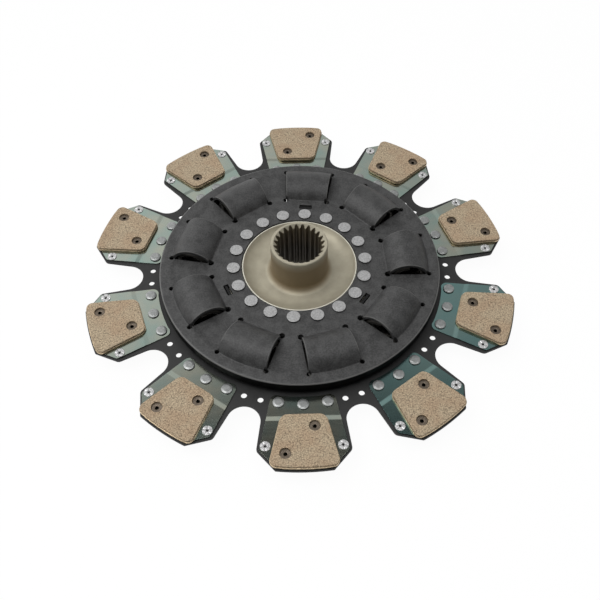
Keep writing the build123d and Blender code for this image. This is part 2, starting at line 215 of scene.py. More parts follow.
class ClutchPads(bpy.types.PropertyGroup):
    """Sizes of the pads."""
    backing: length("Backing", 2.0, "Thickness of the metal backing")
    lining: length("Lining", 2.15, "Thickness of the sintered layer")
    ledge: length("Ledge", 0.75, "How far the backing stands out round the lining")
    inner: length("Inner end", 162.3, "Place of the inner end")
    inner_half: length("Inner half width", 20.45, "Half width of the inner end")
    inner_round: length("Inner round", 8.0, "Round of the inner corners")
    outer: length("Outer end", 215.0, "Reach of the outer end")
    outer_half: length("Outer half width", 32.05, "Half width of the outer end")
    outer_round: length("Outer round", 6.5, "Round of the outer corners")
    hole_radius: length("Counterbore", 5.2, "Radius of the two counterbores")
    inner_hole: length("Inner counterbore", 174.7, "Place of the inner counterbore")
    inner_hole_side: length("Inner counterbore side", -9.8, "Its place across the arm")
    outer_hole: length("Outer counterbore", 200.9, "Place of the outer counterbore")
    outer_hole_side: length("Outer counterbore side", 16.5, "Its place across the arm")
    rear_inset: length("Rear inset", 4.0, "How far the rear pads lie inwards")


class ClutchRivets(bpy.types.PropertyGroup):
    """Sizes and places of the rivets."""
    hub_count: IntProperty(name="Hub rivets", description="Number of rivets round the hub", default=18,
                           min=3)
    hub_reach: length("Hub rivet reach", 66.05, "Circle of the hub rivets")
    hub_head: length("Hub rivet head", 6.6, "Radius of a hub rivet's head")
    hub_rise: length("Hub rivet rise", 1.6, "Height of a hub rivet's head")
    arm_head: length("Arm rivet head", 5.5, "Radius of an arm rivet's head")
    arm_rise: length("Arm rivet rise", 1.9, "Height of an arm rivet's head")
    arm_side_reach: length("Outer arm rivets", 150.6, "Distance of an arm's two outer rivets")
    arm_middle_reach: length("Middle arm rivet", 151.6, "Distance of an arm's middle rivet")
    arm_angle: turn_angle("Arm rivet angle", 8.55, "Angle from the middle rivet to the outer ones")
    corner_head: length("Corner rivet head", 4.75, "Radius of a corner rivet's flared head")
    corner_bore: length("Corner rivet bore", 1.0, "Radius of a corner rivet's hollow")
    corner_rise: length("Corner rivet rise", 1.0, "Height of a corner rivet's head")
    corner_reach: length("Corner rivet reach", 195.2, "Distance of the corner rivets")
    corner_angle: turn_angle("Corner rivet angle", 10.08, "Angle from an arm's middle to a corner rivet")


class ClutchFinish(bpy.types.PropertyGroup):
    """Colours of the finishes."""
    cover: tint("Covers", "2a2a2a", "Phosphated pressed steel")
    cover_crystal: tint("Cover crystals", "414141", "Paler crystals in the phosphate")
    # The pale rim corner is partly bare steel and partly a painted highlight
    cover_edge: tint("Cover edges", "666665", "Steel polished by the press at the rim")
    # The pale roof lips are partly bare steel and partly a painted highlight
    cover_lip: tint("Roof lips", "5c5c5b", "Steel sheared at the ends of the roofs")
    hub: tint("Hub", "a6a08e", "Straw-passivated turned steel")
    # Browner coat, with painted shade towards the collar's foot
    collar: tint("Collar", "85765d", "Thicker and browner coat on the collar's side")
    lip: tint("Lip", "d0cdc0", "Bare turned edge round the dish")
    bore: tint("Spline", "6a5f4b", "Darker passivation inside the bore")
    arms: tint("Arms", "191919", "Blackened sheet steel")
    plates: tint("Cushion plates", "8c968e", "Green-passivated spring steel")
    plates_straw: tint("Plates, straw", "97998d", "Straw clouds in the passivation")
    plates_blue: tint("Plates, blue", "83968f", "Blue clouds in the passivation")
    plates_teal: tint("Plates, teal", "547b7c", "Deeper blue-green coat on the plates of two arms")
    lining: tint("Pad lining", "b9a78c", "Sintered bronze")
    lining_warm: tint("Warm clouds", "98765a", "Clouds richer in copper")
    lining_dark: tint("Pad specks", "5f5140", "Graphite specks and pores")
    backing: tint("Pad backing", "b9a78b", "Copper-coloured backing")
    zinc: tint("Zinc rivets", "989a99", "Bright zinc")
    flared: tint("Corner rivets", "c6c6c6", "Zinc on the crushed ends")
    pale: tint("Hub rivets", "a9a9a9", "Pale plated steel")
    tube: tint("Pad rivets", "6e6459", "Browned steel of the tubular rivets")
    spring: tint("Springs", "5a5854", "Oiled spring steel")
    # Oiled hardened steel, painted near black as shade
    inside: tint("Inner plates", "161616", "Oiled hardened steel")
    friction: tint("Friction rings", "1e1914", "Pressed friction lining")
    floor: tint("Floor", "f4f4f4", "Pale floor")


# Helpers for outlines and meshes

def read(group):
    """A group's settings by name, with lengths in millimetres and angles in degrees."""
    values = {}
    for setting in group.bl_rna.properties:
        if setting.identifier in ("rna_type", "name"):
            continue
        value = getattr(group, setting.identifier)
        if setting.unit == "LENGTH":
            value *= 1000
        elif setting.unit == "ROTATION":
            value = degrees(value)
        values[setting.identifier] = value
    return SimpleNamespace(**values)


def polar(radius, angle):
    """Point at a clockwise angle from +Y, in degrees."""
    return (radius * sin(radians(angle)), radius * cos(radians(angle)))


def arc(radius, start, end, steps, centre=(0.0, 0.0)):
    """Points along an arc between two clockwise angles."""
    points = []
    for number in range(steps + 1):
        x, y = polar(radius, start + (end - start) * number / steps)
        points.append((centre[0] + x, centre[1] + y))
    return points


def rounded(before, corner, after, radius, steps):
    """Points of a round that replaces a sharp corner."""
    back = (Vector(before) - Vector(corner)).normalized()
    ahead = (Vector(after) - Vector(corner)).normalized()
    half = back.angle(ahead) / 2
    centre = Vector(corner) + (back + ahead).normalized() * (radius / sin(half))
    first = Vector(corner) + back * (radius / tan(half)) - centre
    last = Vector(corner) + ahead * (radius / tan(half)) - centre
    sweep = first.angle_signed(last)
    points = []
    for number in range(steps + 1):
        spoke = Matrix.Rotation(-sweep * number / steps, 2) @ first
        points.append(tuple(centre + spoke))
    return points


def mirrored(points):
    """Points of the other half of a symmetric outline, in running order."""
    return [(-x, y) for x, y in reversed(points)]


def repeated(points, count, start=0.0):
    """Points of an outline that repeats about the hub axis, in running order."""
    outline = []
    for number in range(count):
        angle = start + 360 * number / count
        for x, y in points:
            outline.append(polar(hypot(x, y), degrees(atan2(x, y)) + angle))
    return outline


def circle(radius, steps, centre=(0.0, 0.0)):
    """Closed round outline."""
    return arc(radius, 0, 360, steps, centre)[:-1]


def clean(shape):
    """Joins equal corners and turns every face outwards."""
    bmesh.ops.remove_doubles(shape, verts=shape.verts, dist=0.001)
    bmesh.ops.recalc_face_normals(shape, faces=shape.faces)
    return shape


def lathe(profile, sides):
    """Body of revolution about the hub axis from a closed outline of (radius, height) points."""
    shape = bmesh.new()
    rings = []
    for number in range(sides):
        angle = 360 * number / sides
        rings.append([shape.verts.new((*polar(radius, angle), height)) for radius, height in profile])
    for number in range(sides):
        here = rings[number]
        there = rings[(number + 1) % sides]
        for start in range(len(profile)):
            end = (start + 1) % len(profile)
            if profile[start][0] == 0 and profile[end][0] == 0:
                continue
            shape.faces.new((here[start], here[end], there[end], there[start]))
    return clean(shape)


def loft(sections):
    """Closed body through sections with the same number of points, capped at both ends."""
    shape = bmesh.new()
    rows = [[shape.verts.new(point) for point in section] for section in sections]
    for here, there in zip(rows, rows[1:]):
        for start in range(len(here)):
            end = (start + 1) % len(here)
            shape.faces.new((here[start], here[end], there[end], there[start]))
    shape.faces.new(rows[0])
    shape.faces.new(rows[-1])
    return clean(shape)


def block(outline, low, high):
    """Upright body with the same outline from low to high."""
    return loft([[(x, y, low) for x, y in outline], [(x, y, high) for x, y in outline]])


def sheet(outlines, low, high, edge):
    """Flat piece with soft edges: the first outline is its edge and the others are holes."""
    curve = bpy.data.curves.new("outline", "CURVE")
    curve.dimensions = "2D"
    curve.fill_mode = "BOTH"
    curve.extrude = (high - low) / 2 - edge
    curve.bevel_depth = edge
    curve.bevel_resolution = 1
    curve.offset = -edge
    for outline in outlines:
        line = curve.splines.new("POLY")
        line.points.add(len(outline) - 1)
        for point, (x, y) in zip(line.points, outline):
            point.co = (x, y, 0, 1)
        line.use_cyclic_u = True
    holder = bpy.data.objects.new("outline", curve)
    bpy.context.scene.collection.objects.link(holder)
    mesh = evaluated_mesh(holder)
    bpy.data.objects.remove(holder)
    shape = bmesh.new()
    shape.from_mesh(mesh)
    bpy.data.meshes.remove(mesh)
    bmesh.ops.translate(shape, verts=shape.verts, vec=(0, 0, (low + high) / 2))
    return clean(shape)


def joined(shapes):
    """One shape made of several, which are used up."""
    whole = shapes[0]
    for shape in shapes[1:]:
        mesh = bpy.data.meshes.new("part")
        shape.to_mesh(mesh)
        whole.from_mesh(mesh)
        bpy.data.meshes.remove(mesh)
        shape.free()
    return whole


def moved(shape, matrix):
    """The shape, moved by a matrix."""
    bmesh.ops.transform(shape, matrix=matrix, verts=shape.verts)
    return shape


def turn_matrix(angle):
    """Clockwise turn about the hub axis."""
    return Matrix.Rotation(-radians(angle), 4, "Z")


def spaced(shape, count, start=0.0):
    """Copies of a shape, evenly spaced about the hub axis, as one shape."""
    copies = []
    for number in range(count):
        copies.append(moved(shape.copy(), turn_matrix(start + 360 * number / count)))
    shape.free()
    return joined(copies)


def evaluated_mesh(item):
    """Plain mesh of an object with its modifiers."""
    graph = bpy.context.evaluated_depsgraph_get()
    graph.update()
    return bpy.data.meshes.new_from_object(item.evaluated_get(graph))


def new_object(name, shape):
    """Object that holds a shape in millimetres."""
    mesh = bpy.data.meshes.new(name)
    shape.to_mesh(mesh)
    shape.free()
    item = bpy.data.objects.new(name, mesh)
    bpy.context.scene.collection.objects.link(item)
    return item


def cut(shape, cutter, operation="DIFFERENCE"):
    """The shape after a cut with, or a union with, another shape. Both are used up."""
    body = new_object("body", shape)
    tool = new_object("tool", cutter)
    change = body.modifiers.new("cut", "BOOLEAN")
    change.operation = operation
    change.solver = "EXACT"
    change.object = tool
    mesh = evaluated_mesh(body)
    result = bmesh.new()
    result.from_mesh(mesh)
    bpy.data.meshes.remove(mesh)
    bpy.data.objects.remove(body)
    bpy.data.objects.remove(tool)
    bmesh.ops.remove_doubles(result, verts=result.verts, dist=0.001)
    if not all(edge.is_manifold for edge in result.edges):
        raise RuntimeError("A cut has left an open edge")
    return result


def add_node(tree, kind, inputs=None, **settings):
    """New node with its settings, and with values or links on its inputs."""
    node = tree.nodes.new(kind)
    for name, value in settings.items():
        setattr(node, name, value)
    for name, value in (inputs or {}).items():
        if isinstance(value, bpy.types.NodeSocket):
            tree.links.new(value, node.inputs[name])
        else:
            node.inputs[name].default_value = value
    return node


def ring_tree():
    """Tree that repeats a piece evenly about the hub axis."""
    name = "Pieces round the hub"
    if name in bpy.data.node_groups:
        return bpy.data.node_groups[name]
    tree = bpy.data.node_groups.new(name, "GeometryNodeTree")
    for label, kind in (("Piece", "Geometry"), ("Count", "Int"), ("Start", "Float"),
                        ("Material", "Material")):
        tree.interface.new_socket(label, in_out="INPUT", socket_type=f"NodeSocket{kind}")
    tree.interface.new_socket("Pieces", in_out="OUTPUT", socket_type="NodeSocketGeometry")
    start = add_node(tree, "NodeGroupInput")
    points = add_node(tree, "GeometryNodePoints", {"Count": start.outputs["Count"]})
    index = add_node(tree, "GeometryNodeInputIndex")
    pitch = add_node(tree, "ShaderNodeMath", {0: -2 * pi, 1: start.outputs["Count"]}, operation="DIVIDE")
    share = add_node(tree, "ShaderNodeMath", {0: index.outputs["Index"], 1: pitch.outputs[0]},
                     operation="MULTIPLY")
    angle = add_node(tree, "ShaderNodeMath", {0: share.outputs[0], 1: start.outputs["Start"]},
                     operation="SUBTRACT")
    turn = add_node(tree, "ShaderNodeCombineXYZ", {"Z": angle.outputs[0]})
    pieces = add_node(tree, "GeometryNodeInstanceOnPoints", {
        "Points": points.outputs[0],
        "Instance": start.outputs["Piece"],
        "Rotation": turn.outputs[0],
    })
    plain = add_node(tree, "GeometryNodeRealizeInstances", {"Geometry": pieces.outputs[0]})
    painted = add_node(tree, "GeometryNodeSetMaterial", {
        "Geometry": plain.outputs[0],
        "Material": start.outputs["Material"],
    })
    add_node(tree, "NodeGroupOutput", {"Pieces": painted.outputs[0]})
    return tree


def ring_piece(name, shape, count, start, material, body, nodes=(), sharp=35):
    """Finished piece made of evenly spaced copies of a shape."""
    item = new_object(name, shape)
    tree = ring_tree()
    change = item.modifiers.new("ring", "NODES")
    change.node_group = tree
    sockets = {}
    for socket in tree.interface.items_tree:
        if socket.in_out == "INPUT":
            sockets[socket.name] = socket.identifier
    change[sockets["Count"]] = count
    change[sockets["Start"]] = radians(start)
    change[sockets["Material"]] = material
    mesh = evaluated_mesh(item)
    item.modifiers.remove(change)
    item.data = mesh
    return settle(item, material, body, nodes, sharp)


def piece(name, shape, material, body, nodes=(), sharp=35):
    """Finished piece made of one shape."""
    return settle(new_object(name, shape), material, body, nodes, sharp)


def settle(item, material, body, nodes, sharp):
    """Gives a piece its real size, shading, material and place in the frame."""
    item.data.transform(Matrix.Scale(0.001, 4) @ Matrix.Translation((0, 0, middle)))
    item.data.shade_smooth()
    item.data.set_sharp_from_angle(angle=radians(sharp))
    weigh = item.modifiers.new("normals", "WEIGHTED_NORMAL")
    weigh.keep_sharp = True
    mesh = evaluated_mesh(item)
    item.modifiers.remove(weigh)
    item.data = mesh
    mesh.name = item.name
    mesh.materials.clear()
    mesh.materials.append(material)
    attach(item, body)
    if nodes:
        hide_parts(*nodes)
    return item


def numbered(label, count):
    """Names of the frame's nodes for every arm."""
    return [f"{label}_{number + 1:02d}" for number in range(count)]


# Materials

def empty_tree(holder):
    """Empty node tree of a material or a world."""
    holder.use_nodes = True
    holder.node_tree.nodes.clear()
    return holder.node_tree


def new_material(name):
    """Material without nodes, its tree and its object coordinates."""
    material = bpy.data.materials.new(name)
    tree = empty_tree(material)
    place = add_node(tree, "ShaderNodeTexCoord").outputs["Object"]
    return material, tree, place


def darker(colour, share):
    """The colour, darkened to a share of itself. A share over 1 makes it paler."""
    return (*(channel * share for channel in colour[:3]), 1.0)


def axis_distance(tree, place):
    """Distance from the hub axis, in millimetres."""
    flat = add_node(tree, "ShaderNodeVectorMath", {0: place, 1: (1000.0, 1000.0, 0.0)},
                    operation="MULTIPLY")
    return add_node(tree, "ShaderNodeVectorMath", {0: flat.outputs[0]}, operation="LENGTH").outputs["Value"]


def with_clouds(tree, place, colour, width, depth, spread=0.15):
    """A colour with darker or paler clouds of a width in millimetres, and the clouds alone."""
    cloud = add_node(tree, "ShaderNodeTexNoise", {"Vector": place, "Scale": 1000 / width, "Detail": 3.0})
    share = add_node(tree, "ShaderNodeMapRange", {
        "Value": cloud.outputs["Fac"], "From Min": 0.5 - spread, "From Max": 0.5 + spread})
    shade = add_node(tree, "ShaderNodeMix", {
        0: share.outputs[0], 6: tuple(colour), 7: darker(colour, depth)}, data_type="RGBA")
    return shade.outputs[2], cloud.outputs["Fac"]


def end_material(tree, colour, cloud, gloss, metallic, others=None):
    """Ends a material: its clouds move the roughness between the two values of the gloss."""
    roughness = add_node(tree, "ShaderNodeMapRange", {
        "Value": cloud, "From Min": 0.3, "From Max": 0.7, "To Min": gloss[0], "To Max": gloss[1]})
    shader = add_node(tree, "ShaderNodeBsdfPrincipled", {
        "Base Color": colour, "Roughness": roughness.outputs[0], "Metallic": metallic, **(others or {})})
    add_node(tree, "ShaderNodeOutputMaterial", {"Surface": shader.outputs[0]})


def phosphated_steel(finish, covers, springs):
    """Pressed steel with a dark phosphate coat: a matt graphite grey, mottled by
    its crystals, paler on the roof lips and the rim's corner (partly bare steel, partly a painted highlight),
    and painted near black as shade on the rim's side."""
    material, tree, place = new_material("phosphated pressed steel")
    # Crystals are some hundredths of a millimetre wide and are drawn 1.5 mm wide,
    # so that they still show as a mottle from a distance.
    fine = add_node(tree, "ShaderNodeTexNoise", {"Vector": place, "Scale": 1000 / 1.5, "Detail": 2.0})
    wide = add_node(tree, "ShaderNodeTexNoise", {"Vector": place, "Scale": 1000 / 9.0, "Detail": 3.0})
    grains = add_node(tree, "ShaderNodeMath", {0: fine.outputs["Fac"], 1: wide.outputs["Fac"]},
                      operation="ADD")
    mottle = add_node(tree, "ShaderNodeMapRange", {
        "Value": grains.outputs[0], "From Min": 0.8, "From Max": 1.2})
    coat = add_node(tree, "ShaderNodeMix", {
        0: mottle.outputs[0], 6: tuple(finish.cover), 7: tuple(finish.cover_crystal)}, data_type="RGBA")

    # Place within a pocket: across and along it, in millimetres
    axes = add_node(tree, "ShaderNodeSeparateXYZ", {0: place})
    radius = axis_distance(tree, place)
    bearing = add_node(tree, "ShaderNodeMath", {0: axes.outputs["X"], 1: axes.outputs["Y"]},
                       operation="ARCTAN2")
    turned = add_node(tree, "ShaderNodeMath", {0: bearing.outputs[0], 1: radians(covers.turn)},
                      operation="SUBTRACT")
    folded = add_node(tree, "ShaderNodeMath", {0: turned.outputs[0], 1: pi / springs.count},
                      operation="PINGPONG")
    sine = add_node(tree, "ShaderNodeMath", {0: folded.outputs[0]}, operation="SINE")
    cosine = add_node(tree, "ShaderNodeMath", {0: folded.outputs[0]}, operation="COSINE")
    across = add_node(tree, "ShaderNodeMath", {0: sine.outputs[0], 1: radius}, operation="MULTIPLY")
    along = add_node(tree, "ShaderNodeMath", {0: cosine.outputs[0], 1: radius, 2: -springs.reach},
                     operation="MULTIPLY_ADD")
    half = add_node(tree, "ShaderNodeMath", {0: along.outputs[0], 1: covers.slit_lean, 2: covers.slit_half},
                    operation="MULTIPLY_ADD")
    inset = add_node(tree, "ShaderNodeMath", {0: half.outputs[0], 1: across.outputs[0]}, operation="SUBTRACT")
    height = add_node(tree, "ShaderNodeMath", {0: axes.outputs["Z"], 1: 1000.0, 2: -middle},
                      operation="MULTIPLY_ADD")
    section = add_node(tree, "ShaderNodeCombineXYZ", {0: along.outputs[0], 1: height.outputs[0]})
    bow = add_node(tree, "ShaderNodeVectorMath", {0: section.outputs[0]}, operation="LENGTH")

    # Pale edges, partly bare steel polished by the press and partly a painted highlight: the lips of the
    # roofs,
    #     0.6 mm to both sides of a line 0.2 mm inside the slit, and the corner of the rim
    roof = covers.roof_radius
    lip = add_node(tree, "ShaderNodeMath", {0: inset.outputs[0], 1: 0.2, 2: 0.6}, operation="COMPARE")
    crown = add_node(tree, "ShaderNodeMapRange", {
        "Value": bow.outputs["Value"], "From Min": roof - 1.1, "From Max": roof - 0.7})
    lip_edge = add_node(tree, "ShaderNodeMath", {0: lip.outputs[0], 1: crown.outputs[0]},
                        operation="MULTIPLY")
    off_middle = add_node(tree, "ShaderNodeMath", {0: along.outputs[0]}, operation="ABSOLUTE")
    within = add_node(tree, "ShaderNodeMapRange", {
        "Value": off_middle.outputs[0], "From Min": roof - 2.6, "From Max": roof - 5.0})
    lip_bare_and_highlight_mask = add_node(tree, "ShaderNodeMath", {0: lip_edge.outputs[0], 1: within.outputs[0]},
                        operation="MULTIPLY")
    sheared = add_node(tree, "ShaderNodeMix", {
        0: lip_bare_and_highlight_mask.outputs[0], 6: coat.outputs[2], 7: tuple(finish.cover_lip)}, data_type="RGBA")
    rim = add_node(tree, "ShaderNodeMapRange", {
        "Value": radius, "From Min": covers.radius - 1.5, "From Max": covers.radius - 0.9})
    top = covers.inner_face + covers.sheet
    shoulder = add_node(tree, "ShaderNodeMapRange", {
        "Value": height.outputs[0], "From Min": top - 1.6, "From Max": top - 0.9})
    rim_bare_and_highlight_mask = add_node(tree, "ShaderNodeMath", {0: rim.outputs[0], 1: shoulder.outputs[0]},
                        operation="MULTIPLY")
    polished = add_node(tree, "ShaderNodeMix", {
        0: rim_bare_and_highlight_mask.outputs[0], 6: sheared.outputs[2], 7: tuple(finish.cover_edge)}, data_type="RGBA")

    # Painted shade: the side of the rim is painted near black
    low = add_node(tree, "ShaderNodeMapRange", {
        "Value": height.outputs[0], "From Min": top - 1.3, "From Max": top - 1.9})
    wall = add_node(tree, "ShaderNodeMath", {0: rim.outputs[0], 1: low.outputs[0]}, operation="MULTIPLY")
    colour = add_node(tree, "ShaderNodeMix", {
        0: wall.outputs[0], 6: polished.outputs[2], 7: darker(finish.cover, 0.15)}, data_type="RGBA")

    dull = add_node(tree, "ShaderNodeMath", {0: wall.outputs[0], 1: lip_bare_and_highlight_mask.outputs[0]}, operation="MAXIMUM")
    gleam = add_node(tree, "ShaderNodeMapRange", {"Value": dull.outputs[0], "To Min": 0.5, "To Max": 0.03})
    relief = add_node(tree, "ShaderNodeBump", {
        "Height": fine.outputs["Fac"], "Distance": 0.00006, "Strength": 0.6})
    end_material(tree, colour.outputs[2], wide.outputs["Fac"], (0.5, 0.6), 0.2, {
        "Specular IOR Level": gleam.outputs[0], "Normal": relief.outputs[0]})
    return material


def passivated_hub(finish, hub):
    """Turned steel with a straw-coloured passivation: soft and satin with fine
    turning rings, bare on the lip, and brown where the coat is thick in the spline. Painted shade darkens the
    collar's side towards its foot, and the bore further down."""
    material, tree, place = new_material("straw-passivated turned steel")
    radius = axis_distance(tree, place)
    straw, cloud = with_clouds(tree, place, finish.hub, 14.0, 0.86)
    lip = add_node(tree, "ShaderNodeMapRange", {
        "Value": radius, "From Min": hub.lip_radius - 1.2, "From Max": hub.lip_radius - 0.9})
    outside = add_node(tree, "ShaderNodeMix", {
        0: lip.outputs[0], 6: straw, 7: tuple(finish.lip)}, data_type="RGBA")

    # The collar's side is browner and darker towards its foot: partly a browner coat, partly painted shade
    # where the collar meets the dish
    upright = add_node(tree, "ShaderNodeSeparateXYZ", {0: place})
    collar = add_node(tree, "ShaderNodeMapRange", {
        "Value": radius, "From Min": hub.collar_radius + 5.5, "From Max": hub.collar_radius + 0.3})
    top = middle + hub.collar_height
    side = add_node(tree, "ShaderNodeMapRange", {
        "Value": upright.outputs["Z"], "From Min": (top - 1.0) / 1000, "From Max": (top - 12.0) / 1000})
    brown = add_node(tree, "ShaderNodeMath", {0: collar.outputs[0], 1: side.outputs[0]}, operation="MULTIPLY")
    collar_tint_and_shade = add_node(tree, "ShaderNodeMix", {
        0: brown.outputs[0], 6: outside.outputs[2], 7: tuple(finish.collar)}, data_type="RGBA")

    # The spline is brown below the cone that opens it, and painted darker further down as shade inside the
    # bore
    below = add_node(tree, "ShaderNodeMath", {0: upright.outputs["Z"], 1: -1000.0, 2: radius},
                     operation="MULTIPLY_ADD")
    cone = hub.spline_root - middle - hub.collar_height
    deep = add_node(tree, "ShaderNodeMapRange", {
        "Value": below.outputs[0], "From Min": cone + 0.4, "From Max": cone + 1.6})
    bore = add_node(tree, "ShaderNodeMapRange", {
        "Value": radius, "From Min": hub.spline_root + 0.6, "From Max": hub.spline_root + 0.2})
    inside = add_node(tree, "ShaderNodeMath", {0: deep.outputs[0], 1: bore.outputs[0]}, operation="MULTIPLY")
    reach = add_node(tree, "ShaderNodeMapRange", {
        "Value": upright.outputs["Z"], "From Min": (top - 6.0) / 1000, "From Max": (top - 34.0) / 1000})
    bore_shade = add_node(tree, "ShaderNodeMix", {
        0: reach.outputs[0], 6: tuple(finish.bore), 7: darker(finish.bore, 0.25)}, data_type="RGBA")
    colour = add_node(tree, "ShaderNodeMix", {
        0: inside.outputs[0], 6: collar_tint_and_shade.outputs[2], 7: bore_shade.outputs[2]}, data_type="RGBA")

    # Turning marks are about 0.2 mm apart and are drawn 1.2 mm apart, so that they show.
    rings = add_node(tree, "ShaderNodeTexWave", {
        "Vector": place, "Scale": 1000 / 1.2 / pi, "Distortion": 0.4, "Detail": 1.0,
    }, wave_type="RINGS", rings_direction="Z")
    relief = add_node(tree, "ShaderNodeBump", {
        "Height": rings.outputs["Fac"], "Distance": 0.00002, "Strength": 0.35})
    end_material(tree, colour.outputs[2], cloud, (0.52, 0.62), 0.45, {"Normal": relief.outputs[0]})
    return material


def blackened_steel(finish):
    """Sheet steel with a black oxide coat: near black and matt, faintly clouded."""
    material, tree, place = new_material("blackened sheet steel")
    colour, cloud = with_clouds(tree, place, finish.arms, 9.0, 1.5, spread=0.2)
    # The coat's grain is finer than 0.1 mm and is drawn 0.8 mm wide, so that it shows.
    grain = add_node(tree, "ShaderNodeTexNoise", {"Vector": place, "Scale": 1000 / 0.8, "Detail": 2.0})
    relief = add_node(tree, "ShaderNodeBump", {
        "Height": grain.outputs["Fac"], "Distance": 0.00003, "Strength": 0.5})
    end_material(tree, colour, cloud, (0.5, 0.62), 0.2, {"Normal": relief.outputs[0]})
    return material


def passivated_plate(finish, plates):
    """Rolled spring steel with a green passivation: it mirrors its surroundings
    softly, dark under a dark sky and pale under a pale one, and its thin coat
    shifts between green, blue and straw in wide clouds. Two arms carry plates
    of a deeper, blue-green batch."""
    material, tree, place = new_material("green-passivated spring steel")
    cloud = add_node(tree, "ShaderNodeTexNoise", {"Vector": place, "Scale": 1000 / 26.0, "Detail": 2.0})
    straw_share = add_node(tree, "ShaderNodeMapRange", {
        "Value": cloud.outputs["Fac"], "From Min": 0.45, "From Max": 0.65})
    blue_share = add_node(tree, "ShaderNodeMapRange", {
        "Value": cloud.outputs["Fac"], "From Min": 0.45, "From Max": 0.3})
    straw = add_node(tree, "ShaderNodeMix", {
        0: straw_share.outputs[0], 6: tuple(finish.plates), 7: tuple(finish.plates_straw)}, data_type="RGBA")
    clouds = add_node(tree, "ShaderNodeMix", {
        0: blue_share.outputs[0], 6: straw.outputs[2], 7: tuple(finish.plates_blue)}, data_type="RGBA")
    axes = add_node(tree, "ShaderNodeSeparateXYZ", {0: place})
    bearing = add_node(tree, "ShaderNodeMath", {0: axes.outputs["X"], 1: axes.outputs["Y"]},
                       operation="ARCTAN2")
    batch = add_node(tree, "ShaderNodeMath", {
        0: bearing.outputs[0], 1: radians(plates.teal_turn), 2: radians(plates.teal_half),
    }, operation="COMPARE")
    depth = add_node(tree, "ShaderNodeMath", {0: batch.outputs[0], 1: 0.7}, operation="MULTIPLY")
    colour = add_node(tree, "ShaderNodeMix", {
        0: depth.outputs[0], 6: clouds.outputs[2], 7: tuple(finish.plates_teal)}, data_type="RGBA")
    brushed = add_node(tree, "ShaderNodeMapping", {"Vector": place, "Scale": (1.0, 8.0, 8.0)})
    streak = add_node(tree, "ShaderNodeTexNoise", {
        "Vector": brushed.outputs[0], "Scale": 1000 / 12.0, "Detail": 3.0})
    end_material(tree, colour.outputs[2], streak.outputs["Fac"], (0.16, 0.18), 1.0)
    return material


def sintered_lining(finish):
    """Sintered bronze with graphite: a dry, grainy tan, salted with pale metal
    grains and dark graphite and pores."""
    material, tree, place = new_material("sintered bronze lining")
    # Powder grains are about 0.3 mm wide and are drawn 1.3 mm wide, and the pores
    # between them 1.5 mm wide, so that they show.
    grain = add_node(tree, "ShaderNodeTexNoise", {"Vector": place, "Scale": 1000 / 1.3, "Detail": 1.0})
    pores = add_node(tree, "ShaderNodeTexNoise", {"Vector": place, "Scale": 1000 / 1.5, "Detail": 2.0})
    cloud = add_node(tree, "ShaderNodeTexNoise", {"Vector": place, "Scale": 1000 / 16.0, "Detail": 2.0})
    pale = add_node(tree, "ShaderNodeMapRange", {
        "Value": grain.outputs["Fac"], "From Min": 0.35, "From Max": 0.65})
    metal = add_node(tree, "ShaderNodeMix", {
        0: pale.outputs[0], 6: darker(finish.lining, 0.48), 7: tuple(finish.lining)}, data_type="RGBA")
    warm = add_node(tree, "ShaderNodeMapRange", {
        "Value": cloud.outputs["Fac"], "From Min": 0.4, "From Max": 0.65, "To Max": 0.3})
    clouded = add_node(tree, "ShaderNodeMix", {
        0: warm.outputs[0], 6: metal.outputs[2], 7: tuple(finish.lining_warm)}, data_type="RGBA")
    dark = add_node(tree, "ShaderNodeMapRange", {
        "Value": pores.outputs["Fac"], "From Min": 0.56, "From Max": 0.7, "To Max": 0.75})
    colour = add_node(tree, "ShaderNodeMix", {
        0: dark.outputs[0], 6: clouded.outputs[2], 7: tuple(finish.lining_dark)}, data_type="RGBA")
    relief = add_node(tree, "ShaderNodeBump", {
        "Height": grain.outputs["Fac"], "Distance": 0.0001, "Strength": 0.5})
    shader = add_node(tree, "ShaderNodeBsdfPrincipled", {
        "Base Color": colour.outputs[2], "Roughness": 0.85, "Metallic": 0.1,
        "Normal": relief.outputs[0]})
    add_node(tree, "ShaderNodeOutputMaterial", {"Surface": shader.outputs[0]})
    return material


def clouded_metal(name, colour, roughness, grain, metallic, level=0.0, shade_reach=0.0):
    """Material with a cloud, as wide as given in millimetres, in its colour and gloss. It
    is painted near black as shade where its height is within the shade reach of the level."""
    material, tree, place = new_material(name)
    shade, cloud = with_clouds(tree, place, colour, grain, 0.72)
    upright = add_node(tree, "ShaderNodeSeparateXYZ", {0: place})
    height = add_node(tree, "ShaderNodeMath", {
        0: upright.outputs["Z"], 1: (middle + level) / 1000}, operation="SUBTRACT")
    depth = add_node(tree, "ShaderNodeMath", {0: height.outputs[0]}, operation="ABSOLUTE")
    # Painted shade: near black where the height is within the reach of the level
    painted_shade = add_node(tree, "ShaderNodeMath", {0: depth.outputs[0], 1: shade_reach / 1000},
                     operation="LESS_THAN")
    shaded_colour = add_node(tree, "ShaderNodeMix", {
        0: painted_shade.outputs[0], 6: shade, 7: linear("0d0d0a")}, data_type="RGBA")
    end_material(tree, shaded_colour.outputs[2], cloud, (roughness, roughness * 1.4), metallic)
    return material


# Pieces

